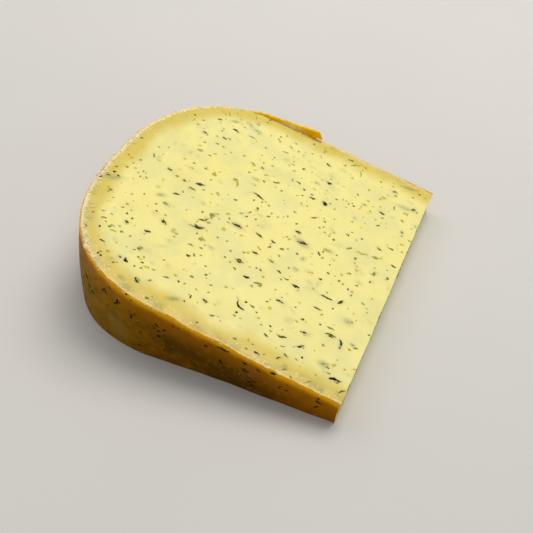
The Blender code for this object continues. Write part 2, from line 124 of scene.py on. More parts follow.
@dataclass(frozen=True)
class WheelCut:
    """The wheel and the wedge cut from it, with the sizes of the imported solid."""

    height: float = 0.100
    rim_radius: float = 0.1339
    tip_radius: float = 0.0383
    wedge_angle: float = math.radians(12.28)
    shoulder_depth: float = 0.0414
    shoulder_power: float = 2.45
    rind_swell: float = 0.00040
    rind_swell_span: float = 0.022
    rind_dent: float = 0.00014
    rind_dent_span: float = 0.007
    face_swell: float = 0.00030
    face_swell_span: float = 0.026
    knife_wave: float = 0.00010
    knife_wave_span: float = 0.017
    edge_drop: float = 0.00050
    edge_drop_width: float = 0.0032
    tip_swell: float = 0.00020
    tip_swell_span: float = 0.013
    outline_steps: int = 1200

    @property
    def axis_x(self) -> float:
        """Where the wheel's axis stands, so that the wedge's box is centred."""
        return (self.rim_radius + self.tip_radius * math.cos(self.wedge_angle)) / 2

    @property
    def half(self) -> float:
        """Half the wheel's height."""
        return self.height / 2

    @property
    def shoulder_start(self) -> float:
        """Radius at which the flat side turns into the rounded rim."""
        return self.rim_radius - self.shoulder_depth

    def rim_at(self, across: np.ndarray) -> np.ndarray:
        """Radius of the rind at a height along the wheel's axis."""
        share = np.minimum(1.0, np.abs(across) / self.half)
        power = self.shoulder_power
        return self.shoulder_start + self.shoulder_depth * (1 - share**power) ** (1 / power)

    def half_width_at(self, radius: np.ndarray) -> np.ndarray:
        """Half the wheel's height at a distance from its axis."""
        share = np.clip((radius - self.shoulder_start) / self.shoulder_depth, 0.0, 1.0)
        power = self.shoulder_power
        return self.half * (1 - share**power) ** (1 / power)

    def rind_measure(self, radius: np.ndarray, across: np.ndarray) -> tuple[np.ndarray, ...]:
        """Depth below the rind and the direction out of it.

        Args:
            radius: Distances from the wheel's axis.
            across: Places along the axis.

        Returns:
            The depth, and the outward direction's radial and axial shares.
        """
        power = self.shoulder_power
        outward = np.maximum(0.0, (radius - self.shoulder_start) / self.shoulder_depth)
        sideways = np.maximum(TINY, np.abs(across) / self.half)
        level = (outward**power + sideways**power) ** (1 / power)
        slope = level ** (1 - power)
        radial = slope * outward ** (power - 1) / self.shoulder_depth
        axial = slope * sideways ** (power - 1) / self.half
        steepness = np.hypot(radial, axial)
        return (1 - level) / steepness, radial / steepness, np.copysign(axial / steepness, across)

    def at(self, radius: float, across: float) -> tuple[float, float, float]:
        """Depth below the rind at one place, and the radial and axial shares of the way out of it."""
        depth, radial, axial = self.rind_measure(np.array(radius), np.array(across))
        return float(depth), float(radial), float(axial)

    def outline(self) -> tuple[np.ndarray, np.ndarray, np.ndarray]:
        """The rind's outline in the section, from the front of the tip round to its back.

        Returns:
            Running length, radius and place across at each step.
        """
        turn = math.pi * (np.arange(self.outline_steps + 1) / self.outline_steps - 0.5)
        radius = self.shoulder_start + self.shoulder_depth * np.cos(turn).clip(0) ** (2 / self.shoulder_power)
        across = np.copysign(np.abs(np.sin(turn)) ** (2 / self.shoulder_power), turn) * self.half
        radius = np.concatenate(([self.tip_radius], radius, [self.tip_radius]))
        across = np.concatenate(([-self.half], across, [self.half]))
        steps = np.hypot(np.diff(radius), np.diff(across))
        return np.concatenate(([0.0], np.cumsum(steps))), radius, across

    def place(self, radius: np.ndarray, across: np.ndarray, angle: np.ndarray) -> np.ndarray:
        """World points at a radius, a place across and an angle above the lower cut."""
        return rows(self.axis_x - radius * np.cos(angle), across, radius * np.sin(angle))

    def face_height(self, radius: np.ndarray, across: np.ndarray) -> np.ndarray:
        """Height of the upper cut face over its plane."""
        depth, _, _ = self.rind_measure(radius, across)
        swell = self.face_swell * waves(rows(radius, across, 0.3), self.face_swell_span)
        knife = self.knife_wave * np.sin(2 * math.pi * (radius + 0.35 * across) / self.knife_wave_span)
        near_rind = np.maximum(0.0, 1 - depth / self.edge_drop_width)
        crumble = 0.5 + 0.9 * waves(rows(radius, across, 0.7), self.edge_drop_width)
        return swell + knife - self.edge_drop * near_rind * crumble

    def rind_shift(self, points: np.ndarray) -> np.ndarray:
        """How far the rind stands out of its even outline at world points."""
        swell = self.rind_swell * waves(points, self.rind_swell_span)
        return swell + self.rind_dent * waves(points, self.rind_dent_span)

    def tip_shift(self, rise: np.ndarray, across: np.ndarray) -> np.ndarray:
        """How far the tip's face stands towards the wheel's rim."""
        return self.tip_swell * waves(rows(rise, across, 0.1), self.tip_swell_span)

    def dense_outline(self) -> tuple[np.ndarray, np.ndarray, np.ndarray]:
        """The outline at even steps, for finding the nearest place on it."""
        runs, radii, acrosses = self.outline()
        even = np.linspace(0, runs[-1], 4 * self.outline_steps)
        return even, np.interp(even, runs, radii), np.interp(even, runs, acrosses)

    def on_face(self, face: Skin, along: np.ndarray, across: np.ndarray, lift: np.ndarray) -> np.ndarray:
        """World points on one of the cheese's faces.

        Args:
            face: Which of them.
            along: Radius on the upper face and the underside, rise on the tip, running length on the rind.
            across: Place along the wheel's axis, or the height up the rind.
            lift: Height over the cheese's own surface.

        Returns:
            One row of coordinates for each point.
        """
        if face is Skin.UPPER:
            angle = self.wedge_angle
            up = self.face_height(along, across) + lift
            return self.place(along, across, angle) + rows(math.sin(angle), 0, math.cos(angle)) * up[:, None]
        if face is Skin.UNDER:
            return self.place(along, across, 0.0) + rows(0, 0, -1.0) * lift[:, None]
        if face is Skin.RIND:
            return self.on_rind(along, across, lift)
        angle = along / self.tip_radius
        radius = self.tip_radius + self.tip_shift(along, across) - lift
        return self.place(radius, across, angle)

    def on_rind(self, run: np.ndarray, rise: np.ndarray, lift: np.ndarray) -> np.ndarray:
        """World points on the rind.

        Args:
            run: Running length round the outline from the front of the tip.
            rise: Height above the underside, along the rind.
            lift: Height over the rind.

        Returns:
            One row of coordinates for each point.
        """
        runs, radii, acrosses = self.dense_outline()
        radius, across = np.interp(run, runs, radii), np.interp(run, runs, acrosses)
        _, radial, axial = self.rind_measure(radius, across)
        angle = rise / radius
        shift = self.rind_shift(self.place(radius, across, angle)) + lift
        return self.place(radius + radial * shift, across + axial * shift, angle)


CUT = WheelCut()


def deselect_all() -> None:
    """Leave edit mode and select nothing."""
    if bpy.context.object and bpy.context.object.mode != "OBJECT":
        bpy.ops.object.mode_set(mode="OBJECT")
    bpy.ops.object.select_all(action="DESELECT")


def coordinates(mesh: bpy.types.Mesh) -> np.ndarray:
    """The mesh's vertex coordinates, a row each."""
    flat = np.empty(len(mesh.vertices) * 3)
    mesh.vertices.foreach_get("co", flat)
    return flat.reshape(-1, 3)


def set_coordinates(mesh: bpy.types.Mesh, points: np.ndarray) -> None:
    """Move the mesh's vertices."""
    mesh.vertices.foreach_set("co", points.astype(np.float32).ravel())
    mesh.update()


def paint(mesh: bpy.types.Mesh, name: str, values: np.ndarray) -> None:
    """Store one number for each vertex under a name that materials read."""
    layer = mesh.attributes.new(name, "FLOAT", "POINT")
    layer.data.foreach_set("value", values.astype(np.float32))


def select_only(piece: bpy.types.Object) -> None:
    """Make one piece the only one that the operators act on."""
    deselect_all()
    bpy.context.view_layer.objects.active = piece
    piece.select_set(True)


def grid_piece(name: str, cells: tuple[int, int]) -> tuple[bpy.types.Object, np.ndarray, np.ndarray]:
    """A new piece that starts as a flat grid.

    Args:
        name: The piece's name.
        cells: How many cells it has along X and along Y.

    Returns:
        The piece, and each vertex's share of the way along X and along Y.
    """
    deselect_all()
    bpy.ops.mesh.primitive_grid_add(x_subdivisions=cells[0], y_subdivisions=cells[1], size=1)
    piece = bpy.context.object
    piece.name = piece.data.name = name
    flat = coordinates(piece.data)
    return piece, np.clip(flat[:, 0] + 0.5, 0, 1), np.clip(flat[:, 1] + 0.5, 0, 1)


@dataclass
class JoinedShapes:
    """Many small shapes gathered into one mesh."""

    points: list[np.ndarray] = field(default_factory=list)
    faces: list[tuple[int, ...]] = field(default_factory=list)
    tones: list[np.ndarray] = field(default_factory=list)
    veils: list[np.ndarray] = field(default_factory=list)
    count: int = 0

    def add(
        self, points: np.ndarray, faces: Iterable[tuple[int, ...]], tone: np.ndarray | float,
        sunk: np.ndarray | float = 0.0,
    ) -> None:
        """Add one shape.

        Args:
            points: Its vertices.
            faces: Its faces, numbered from 0.
            tone: A number between 0 and 1 that its material reads, for each vertex or for all.
            sunk: How far it is veiled by the paste over it, 0 to 1.
        """
        self.faces.extend(tuple(index + self.count for index in face) for face in faces)
        self.points.append(points)
        self.tones.append(np.broadcast_to(tone, len(points)))
        self.veils.append(np.broadcast_to(sunk, len(points)))
        self.count += len(points)

    def to_object(self, name: str, material: bpy.types.Material, slot: str) -> None:
        """Make the piece and let it ride with the cheese.

        Args:
            name: The piece's name.
            material: Its finish.
            slot: Not used.
        """
        mesh = bpy.data.meshes.new(name)
        mesh.from_pydata(np.concatenate(self.points).tolist(), [], self.faces)
        paint(mesh, "tone", np.concatenate(self.tones))
        paint(mesh, "sunk", np.concatenate(self.veils))
        mesh.shade_smooth()
        mesh.materials.append(material)
        piece = bpy.data.objects.new(name, mesh)
        bpy.context.scene.collection.objects.link(piece)
        recalculate_normals(piece)
        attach(piece, "root")
        LOG.info("%s: %d faces", name, len(mesh.polygons))


def recalculate_normals(piece: bpy.types.Object) -> None:
    """Turn all faces of a closed piece outwards."""
    select_only(piece)
    bpy.ops.object.mode_set(mode="EDIT")
    bpy.ops.mesh.select_all(action="SELECT")
    bpy.ops.mesh.normals_make_consistent(inside=False)
    bpy.ops.object.mode_set(mode="OBJECT")
    piece.select_set(False)


def linear(colour: Colour) -> tuple[float, float, float, float]:
    """The linear colour of display values from 0 to 255."""
    shares = (value / 255 for value in colour)
    return (*(s / 12.92 if s <= 0.04045 else ((s + 0.055) / 1.055) ** 2.4 for s in shares), 1.0)


@dataclass
class NodeBench:
    """Adds nodes to one material and links them."""

    material: bpy.types.Material

    @classmethod
    def new(cls, name: str) -> "NodeBench":
        """A bench for a new material that has a Principled shader."""
        material = bpy.data.materials.new(name)
        material.use_nodes = True
        return cls(material)

    @property
    def shader(self) -> bpy.types.Node:
        """The material's Principled shader."""
        return self.material.node_tree.nodes["Principled BSDF"]

    def set(self, **values: object) -> None:
        """Link or set the shader's own sockets; an underscore stands for a space in a socket's name."""
        for name, value in values.items():
            self.feed(self.shader.inputs[name.replace("_", " ")], value)

    def link(self, source: bpy.types.NodeSocket, target: bpy.types.NodeSocket) -> None:
        """Link two sockets."""
        self.material.node_tree.links.new(source, target)

    def feed(self, target: bpy.types.NodeSocket, value: object) -> None:
        """Link a socket, or set it where the value is a plain one."""
        if isinstance(value, bpy.types.NodeSocket):
            self.link(value, target)
        else:
            target.default_value = value

    def node(self, kind: str) -> bpy.types.Node:
        """A new node of a kind."""
        return self.material.node_tree.nodes.new(kind)

    def math(self, operation: str, first: Sockets, second: Sockets) -> bpy.types.NodeSocket:
        """The result of a Math node.

        Args:
            operation: What it does.
            first: Its first value.
            second: Its second value.

        Returns:
            The result's socket.
        """
        node = self.node("ShaderNodeMath")
        node.operation = operation
        self.feed(node.inputs[0], first)
        self.feed(node.inputs[1], second)
        return node.outputs[0]

    def times(self, first: Sockets, second: Sockets) -> bpy.types.NodeSocket:
        """The product of two values."""
        return self.math("MULTIPLY", first, second)

    def plus(self, first: Sockets, second: Sockets) -> bpy.types.NodeSocket:
        """The sum of two values."""
        return self.math("ADD", first, second)

    def minus(self, first: Sockets, second: Sockets) -> bpy.types.NodeSocket:
        """The first value less the second."""
        return self.math("SUBTRACT", first, second)

    def step(
        self, value: Sockets, start: float, end: float, low: float = 0.0, high: float = 1.0
    ) -> bpy.types.NodeSocket:
        """A smooth step of a value.

        Args:
            value: What is stepped.
            start: Where the step starts.
            end: Where it ends, above start.
            low: The result up to start.
            high: The result from end on.

        Returns:
            The stepped value's socket.
        """
        node = self.node("ShaderNodeMapRange")
        node.interpolation_type = "SMOOTHSTEP"
        for index, entry in enumerate((value, start, end, low, high)):
            self.feed(node.inputs[index], entry)
        return node.outputs[0]

    def attribute(self, name: str) -> bpy.types.NodeSocket:
        """A number that was painted on the mesh."""
        node = self.node("ShaderNodeAttribute")
        node.attribute_name = name
        return node.outputs["Fac"]

    def place(self) -> bpy.types.NodeSocket:
        """The point's place on the object."""
        return self.node("ShaderNodeTexCoord").outputs["Object"]

    def combine(self, x: Sockets, y: Sockets, z: Sockets = 0.0) -> bpy.types.NodeSocket:
        """A vector from three numbers."""
        node = self.node("ShaderNodeCombineXYZ")
        for index, value in enumerate((x, y, z)):
            self.feed(node.inputs[index], value)
        return node.outputs[0]

    def noise(
        self, vector: bpy.types.NodeSocket, span: float, detail: float = 2.0, roughness: float = 0.5
    ) -> bpy.types.NodeSocket:
        """Noise whose bumps are about a span wide.

        Args:
            vector: Where it is read.
            span: The width of one bump, in the vector's unit.
            detail: How many finer layers it has.
            roughness: How strong those are.

        Returns:
            The noise's socket, between 0 and 1.
        """
        node = self.node("ShaderNodeTexNoise")
        self.link(vector, node.inputs["Vector"])
        node.inputs["Scale"].default_value = 1 / span
        node.inputs["Detail"].default_value = detail
        node.inputs["Roughness"].default_value = roughness
        return node.outputs[0]

    def mix(self, share: Sockets, first: object, second: object) -> bpy.types.NodeSocket:
        """A mix of two colours, each a socket or display values."""
        node = self.node("ShaderNodeMix")
        node.data_type = "RGBA"
        self.feed(node.inputs[0], share)
        for index, colour in ((6, first), (7, second)):
            self.feed(node.inputs[index], linear(colour) if isinstance(colour, tuple) else colour)
        return node.outputs[2]

    def bump(self, height: bpy.types.NodeSocket, depth: float, strength: float = 1.0) -> None:
        """Feed a height to the shader's normal.

        Args:
            height: The height, between 0 and 1.
            depth: How high 1 is, in metres.
            strength: How much of it shows.
        """
        node = self.node("ShaderNodeBump")
        node.inputs["Strength"].default_value = strength
        node.inputs["Distance"].default_value = depth
        self.link(height, node.inputs["Height"])
        self.link(node.outputs["Normal"], self.shader.inputs["Normal"])


@dataclass(frozen=True)
class PasteFinish:
    """The cut paste: pale and waxy inside, drier and darker towards the rind.

    The bands are the depths below the rind, in mm, over which a colour fades out.
    """

    dried_band: Band = (3.0, 9.0)
    crumbly_band: Band = (1.4, 4.4)
    tooth_band: Band = (0.8, 1.6)
    grain_band: Band = (1.4, 4.6)
    torn_band: Band = (0.50, 0.90)
    rind_band: Band = (0.20, 0.38)
    front_span: Band = (-0.034, -0.006)
    front_rim_span: Band = (-0.047, -0.040)
    back_rim_span: Band = (0.043, 0.048)
    heart: Colour = (252, 237, 140)
    pale: Colour = (253, 241, 158)
    cool: Colour = (240, 232, 152)
    dried: Colour = (224, 200, 76)
    crumbly: Colour = (230, 204, 108)
    greyed: Colour = (190, 180, 90)
    grain: Colour = (255, 244, 200)
    torn_line: Colour = (255, 228, 176)
    rind_line: Colour = (244, 176, 40)
    buried_herb: Colour = (124, 128, 62)
    deep_herb: Colour = (150, 160, 118)

    def material(self) -> bpy.types.Material:
        """Build the material."""
        bench = NodeBench.new("paste")
        place = bench.place()
        depth = bench.times(bench.attribute("rind_depth"), 1 / MM)
        run = bench.times(bench.attribute("edge_run"), 1 / MM)
        warp = bench.minus(bench.noise(place, 4 * MM, 3), 0.5)
        wide_warp = bench.minus(bench.noise(place, 16 * MM, 2), 0.5)
        near = bench.plus(depth, bench.times(warp, 1.3))
        far = bench.plus(depth, bench.times(wide_warp, 9.0))
        streaks = bench.noise(bench.combine(run, bench.times(depth, 0.28)), 0.55, 3, 0.6)
        grains = bench.noise(place, 0.75 * MM, 2, 0.6)

        colour = bench.mix(bench.noise(place, 22 * MM, 2), self.heart, self.pale)
        cool_spots = bench.step(bench.noise(place, 10 * MM, 3), 0.42, 0.62, 0.0, 0.85)
        colour = bench.mix(cool_spots, colour, self.cool)
        colour = bench.mix(bench.step(far, *self.dried_band, 0.92, 0.0), colour, self.dried)
        front = self._across(bench, place, self.front_span, 1.0, 0.25)
        patches = bench.step(bench.noise(place, 7 * MM, 2), 0.44, 0.60)
        crumb_share = bench.times(bench.step(near, *self.crumbly_band, 0.80, 0.0), front)
        colour = bench.mix(crumb_share, colour, bench.mix(patches, self.crumbly, self.greyed))
        rim = bench.math(
            "MINIMUM", self._across(bench, place, self.front_rim_span, 0.0, 1.0),
            self._across(bench, place, self.back_rim_span, 1.0, 0.15))
        teeth = bench.noise(bench.combine(run, bench.times(depth, 0.15)), 0.8, 2, 0.6)
        toothed = bench.plus(depth, bench.times(bench.minus(teeth, 0.5), 4.5))
        tooth_share = bench.times(bench.step(toothed, *self.tooth_band, 0.85, 0.0), rim)
        colour = bench.mix(tooth_share, colour, self.grain)
        dots = bench.times(bench.step(grains, 0.58, 0.66), bench.step(near, *self.grain_band, 0.50, 0.0))
        colour = bench.mix(dots, colour, self.grain)
        colour = bench.mix(self._herb_share(bench, place), colour, self._herb_colour(bench, place))
        line = bench.plus(depth, bench.times(warp, 0.8))
        broken = bench.step(bench.noise(place, 2.6 * MM, 2), 0.40, 0.56, 0.30, 1.0)
        torn = bench.times(bench.step(line, *self.torn_band, 0.75, 0.0), broken)
        colour = bench.mix(torn, colour, self.torn_line)
        colour = bench.mix(bench.step(line, *self.rind_band, 0.85, 0.0), colour, self.rind_line)
        bench.set(Base_Color=colour)

        gloss = bench.noise(place, 7 * MM, 3)
        bench.set(Roughness=bench.step(gloss, 0.3, 0.75, 0.40, 0.56))
        rough_rim = bench.times(streaks, bench.step(near, 0.6, 4.0, 1.0, 0.0))
        rough_rim = bench.times(rough_rim, bench.plus(bench.times(rim, 0.75), 0.25))
        fine = bench.times(bench.noise(place, 1.3 * MM, 4, 0.6), 0.22)
        bench.bump(bench.plus(rough_rim, fine), 0.35 * MM, 0.8)
        bench.set(Subsurface_Weight=0.30, Subsurface_Radius=(1.0, 0.75, 0.25), Subsurface_Scale=0.0035)
        bench.set(IOR=1.45, Specular_IOR_Level=0.42)
        return bench.material

    @staticmethod
    def _across(
        bench: NodeBench, place: bpy.types.NodeSocket, span: Band, low: float, high: float
    ) -> bpy.types.NodeSocket:
        """A smooth step along the wheel's axis, from the front of the wedge to its back.

        Args:
            bench: Where the nodes are added.
            place: The point's place on the object.
            span: Where the step starts and where it ends.
            low: The result up to its start.
            high: The result from its end on.

        Returns:
            The stepped value's socket.
        """
        node = bench.node("ShaderNodeSeparateXYZ")
        bench.link(place, node.inputs[0])
        return bench.step(node.outputs[1], *span, low, high)

    @staticmethod
    def _herb_share(bench: NodeBench, place: bpy.types.NodeSocket) -> bpy.types.NodeSocket:
        """How much a herb under the surface darkens the paste."""
        uneven = bench.plus(bench.noise(place, 0.9 * MM, 2), 0.45)
        return bench.math("MINIMUM", bench.times(bench.attribute("herb_shade"), uneven), 0.92)

    def _herb_colour(self, bench: NodeBench, place: bpy.types.NodeSocket) -> bpy.types.NodeSocket:
        """Olive where a herb lies shallow, grey-green where it lies deep."""
        deeper = bench.step(bench.noise(place, 9 * MM, 1), 0.42, 0.58)
        return bench.mix(deeper, self.buried_herb, self.deep_herb)


@dataclass(frozen=True)
class RindFinish:
    """The rind: amber and brown under a thin satin coat, with herbs showing through.

    The bands are distances in mm over which a colour fades out: from the tip's front corner along the
    rind for tip_band, and below the upper edge for the others. Those below the upper edge are painted light:
    the wall is lighter towards its upper edge, where the lamps catch it, with a painted highlight along the
    edge.
    """

    tip_band: Band = (6.0, 26.0)
    # Painted light: these three bands make the wall lighter towards its upper edge, where the lamps catch it
    lit_top_band: Band = (0.0, 11.0)
    lit_edge_band: Band = (-0.2, 3.2)
    highlight_band: Band = (0.2, 2.0)
    amber: Colour = (126, 81, 0)
    brown: Colour = (90, 59, 0)
    gold: Colour = (152, 112, 0)
    tip_amber: Colour = (154, 90, 0)
    warm: Colour = (178, 112, 0)
    # Painted light and a painted highlight along the wall's upper edge
    lit_edge_colour: Colour = (250, 174, 0)
    highlight_colour: Colour = (255, 190, 20)
    herb: Colour = (34, 24, 2)
    worn: Colour = (148, 122, 76)
    chalk: Colour = (224, 206, 164)

    def material(self) -> bpy.types.Material:
        """Build the material."""
        bench = NodeBench.new("rind")
        place = bench.place()
        gap = bench.times(bench.attribute("edge_gap"), 1 / MM)
        run = bench.times(bench.attribute("edge_run"), 1 / MM)
        blotch = bench.noise(place, 20 * MM, 3, 0.55)
        mottle = bench.noise(place, 3.2 * MM, 4, 0.6)

        colour = bench.mix(bench.step(blotch, 0.40, 0.60), self.amber, self.brown)
        colour = bench.mix(bench.attribute("golden"), colour, self.gold)
        colour = bench.mix(bench.step(run, *self.tip_band, 0.85, 0.0), colour, self.tip_amber)
        colour = bench.mix(bench.step(mottle, 0.40, 0.75, 0.0, 0.40), colour, self.brown)
        patches = bench.noise(place, 2.4 * MM, 3, 0.6)
        colour = bench.mix(bench.step(patches, 0.50, 0.66, 0.0, 0.35), colour, self.brown)
        colour = bench.mix(bench.step(patches, 0.34, 0.50, 0.22, 0.0), colour, self.warm)
        # Painted light: lighter towards the upper edge, where the lamps catch the wall, and a painted
        # highlight along the edge
        reach = bench.plus(gap, bench.times(bench.minus(mottle, 0.5), 2.4))
        colour = bench.mix(bench.step(reach, *self.lit_top_band, 0.85, 0.0), colour, self.warm)
        colour = bench.mix(bench.step(reach, *self.lit_edge_band, 1.0, 0.0), colour, self.lit_edge_colour)
        colour = bench.mix(bench.step(gap, *self.highlight_band, 0.9, 0.0), colour, self.highlight_colour)
        marks = bench.times(bench.attribute("herb_shade"), bench.plus(mottle, 0.55))
        colour = bench.mix(bench.step(marks, 0.12, 0.42, 0.0, 0.70), colour, self.herb)
        haze = bench.times(bench.attribute("worn"), bench.step(mottle, 0.30, 0.72, 0.20, 0.72))
        colour = bench.mix(haze, colour, self.worn)
        scratch = bench.noise(bench.combine(bench.times(run, 0.16), gap), 0.42, 1)
        scored = bench.times(bench.attribute("scratched"), bench.step(mottle, 0.40, 0.55))
        pale_scores = bench.times(bench.step(scratch, 0.58, 0.64, 0.0, 0.55), scored)
        colour = bench.mix(pale_scores, colour, self.worn)
        dark_scores = bench.times(bench.step(scratch, 0.38, 0.44, 0.7, 0.0), scored)
        colour = bench.mix(dark_scores, colour, self.herb)
        specks = bench.step(bench.noise(place, 0.8 * MM, 1), 0.75, 0.81, 0.0, 0.45)
        colour = bench.mix(specks, colour, self.chalk)
        bench.set(Base_Color=colour)

        roughness = bench.plus(bench.step(mottle, 0.3, 0.7, 0.40, 0.56), bench.times(haze, 0.3))
        bench.set(Roughness=roughness)
        relief = bench.plus(mottle, bench.times(scratch, 0.25))
        bench.bump(relief, 0.30 * MM, 0.7)
        bench.set(Subsurface_Weight=0.03, Subsurface_Radius=(1.0, 0.5, 0.02), Subsurface_Scale=0.0020)
        bench.set(IOR=1.42, Specular_IOR_Level=0.035)
        return bench.material


@dataclass(frozen=True)
class LipFinish:
    """The torn rind that stands up and lets the light through."""

    shade: Colour = (255, 184, 6)
    glow: Colour = (255, 198, 12)
    torn: Colour = (255, 232, 168)

    def material(self) -> bpy.types.Material:
        """Build the material."""
        bench = NodeBench.new("torn_rind")
        place = bench.place()
        mottle = bench.noise(place, 2.6 * MM, 4, 0.6)
        colour = bench.mix(bench.step(mottle, 0.35, 0.65), self.glow, self.shade)
        pale = bench.times(bench.attribute("paleness"), bench.step(mottle, 0.38, 0.56))
        colour = bench.mix(pale, colour, self.torn)
        bench.set(Base_Color=colour)
        bench.set(Roughness=bench.step(mottle, 0.3, 0.7, 0.38, 0.55))
        bench.bump(mottle, 0.25 * MM, 0.7)
        bench.set(Subsurface_Weight=0.60, Subsurface_Radius=(1.0, 0.7, 0.06), Subsurface_Scale=0.0030)
        bench.set(IOR=1.42, Specular_IOR_Level=0.08)
        return bench.material


@dataclass(frozen=True)
class SpeckFinish:
    """The finish of small scattered things: two colours by each one's tone, with fine mottling."""

    name: str
    first: Colour
    second: Colour
    mottled: Colour
    roughness: float = 0.62
    softness: float = 0.10
    span: float = 0.5 * MM

    def material(self) -> bpy.types.Material:
        """Build the material."""
        bench = NodeBench.new(self.name)
        place = bench.place()
        fine = bench.noise(place, self.span, 3, 0.6)
        colour = bench.mix(bench.attribute("tone"), self.first, self.second)
        colour = bench.mix(bench.step(fine, 0.48, 0.66, 0.0, 0.7), colour, self.mottled)
        bench.set(Base_Color=colour)
        bench.set(Roughness=bench.step(fine, 0.3, 0.7, self.roughness - 0.08, self.roughness + 0.08))
        bench.bump(fine, 0.12 * MM, 0.6)
        bench.set(Subsurface_Weight=self.softness, Subsurface_Radius=(1.0, 0.8, 0.4), Subsurface_Scale=0.0012)
        bench.set(Specular_IOR_Level=0.15)
        return bench.material


@dataclass(frozen=True)
class HerbFinish:
    """A herb's leaf: darker and lighter along its length, and veiled by paste where it lies under it."""

    name: str
    core: Colour
    leaf: Colour
    tinge: Colour
    veil: Colour = (238, 226, 136)
    mist: Colour = (186, 186, 116)

    def material(self) -> bpy.types.Material:
        """Build the material."""
        bench = NodeBench.new(self.name)
        place = bench.place()
        fine = bench.noise(place, 0.9 * MM, 2, 0.6)
        patches = bench.noise(place, 1.9 * MM, 1)
        colour = bench.mix(bench.step(bench.attribute("tone"), 0.25, 0.85), self.core, self.leaf)
        colour = bench.mix(bench.step(patches, 0.48, 0.60, 0.0, 0.85), colour, self.tinge)
        sunk = bench.attribute("sunk")
        ragged = bench.plus(sunk, bench.times(bench.minus(fine, 0.5), 0.8))
        colour = bench.mix(bench.step(ragged, 0.22, 0.66), colour, self.mist)
        colour = bench.mix(bench.step(ragged, 0.48, 0.98), colour, self.veil)
        bench.set(Base_Color=colour)
        bench.set(Roughness=bench.step(fine, 0.3, 0.7, 0.55, 0.68))
        bench.bump(fine, 0.08 * MM, 0.5)
        bench.set(Subsurface_Weight=0.04, Subsurface_Radius=(1.0, 0.8, 0.4), Subsurface_Scale=0.0006)
        bench.set(Specular_IOR_Level=0.06)
        return bench.material


DARK_HERB = HerbFinish("dark_herb", (24, 26, 8), (74, 76, 32), (98, 88, 10))
OLIVE_HERB = HerbFinish("olive_herb", (108, 108, 4), (150, 148, 22), (166, 152, 6))
MUSTARD_HERB = HerbFinish("mustard_herb", (216, 196, 0), (234, 216, 26), (200, 174, 0), mist=(222, 208, 84))
BROWN_HERB = HerbFinish("brown_herb", (104, 84, 0), (146, 112, 4), (80, 66, 2))
RIND_HERB = HerbFinish("rind_herb", (36, 26, 2), (62, 44, 2), (80, 54, 0), (100, 64, 0), (88, 56, 0))
CRUMB = SpeckFinish("crumb", (255, 242, 190), (248, 228, 156), (255, 250, 220), softness=0.45)
BLOOM = SpeckFinish("white_bloom", (255, 236, 176), (252, 222, 150), (255, 244, 206), 0.85, 0.45)


@dataclass(frozen=True)
class Blotch:
    """A soft dark spot: a herb that lies under the surface."""

    along: float
    across: float
    length: float
    width: float
    turn: float
    strength: float


def shade_of(along: np.ndarray, across: np.ndarray, blotches: Sequence[Blotch]) -> np.ndarray:
    """How dark the blotches make each point of a face.

    Args:
        along: The points' first coordinate on the face.
        across: Their second one.
        blotches: The spots, in the same coordinates.

    Returns:
        A darkness of 0 or more for each point.
    """
    total = np.zeros(len(along))
    for blotch in blotches:
        cosine, sine = math.cos(blotch.turn), math.sin(blotch.turn)
        first, second = along - blotch.along, across - blotch.across
        lengthwise = (first * cosine + second * sine) / (blotch.length / 2)
        crosswise = (second * cosine - first * sine) / (blotch.width / 2)
        total = np.maximum(total, blotch.strength * np.exp(-(lengthwise**2 + crosswise**2)))
    return total


@dataclass(frozen=True)
class Flake:
    """One piece of herb in a cut face."""

    along: float
    across: float
    length: float
    width: float
    turn: float
    bend: float = 0.0
    form: FlakeForm = FlakeForm.LENS
    kind: HerbKind = HerbKind.DARK
    veil: float = 0.25

    def halo(self, strength: float) -> Blotch:
        """The soft shade that the flake casts in the waxy paste round it."""
        return Blotch(self.along, self.across, self.length * 1.25, self.width * 1.9, -self.turn, strength)


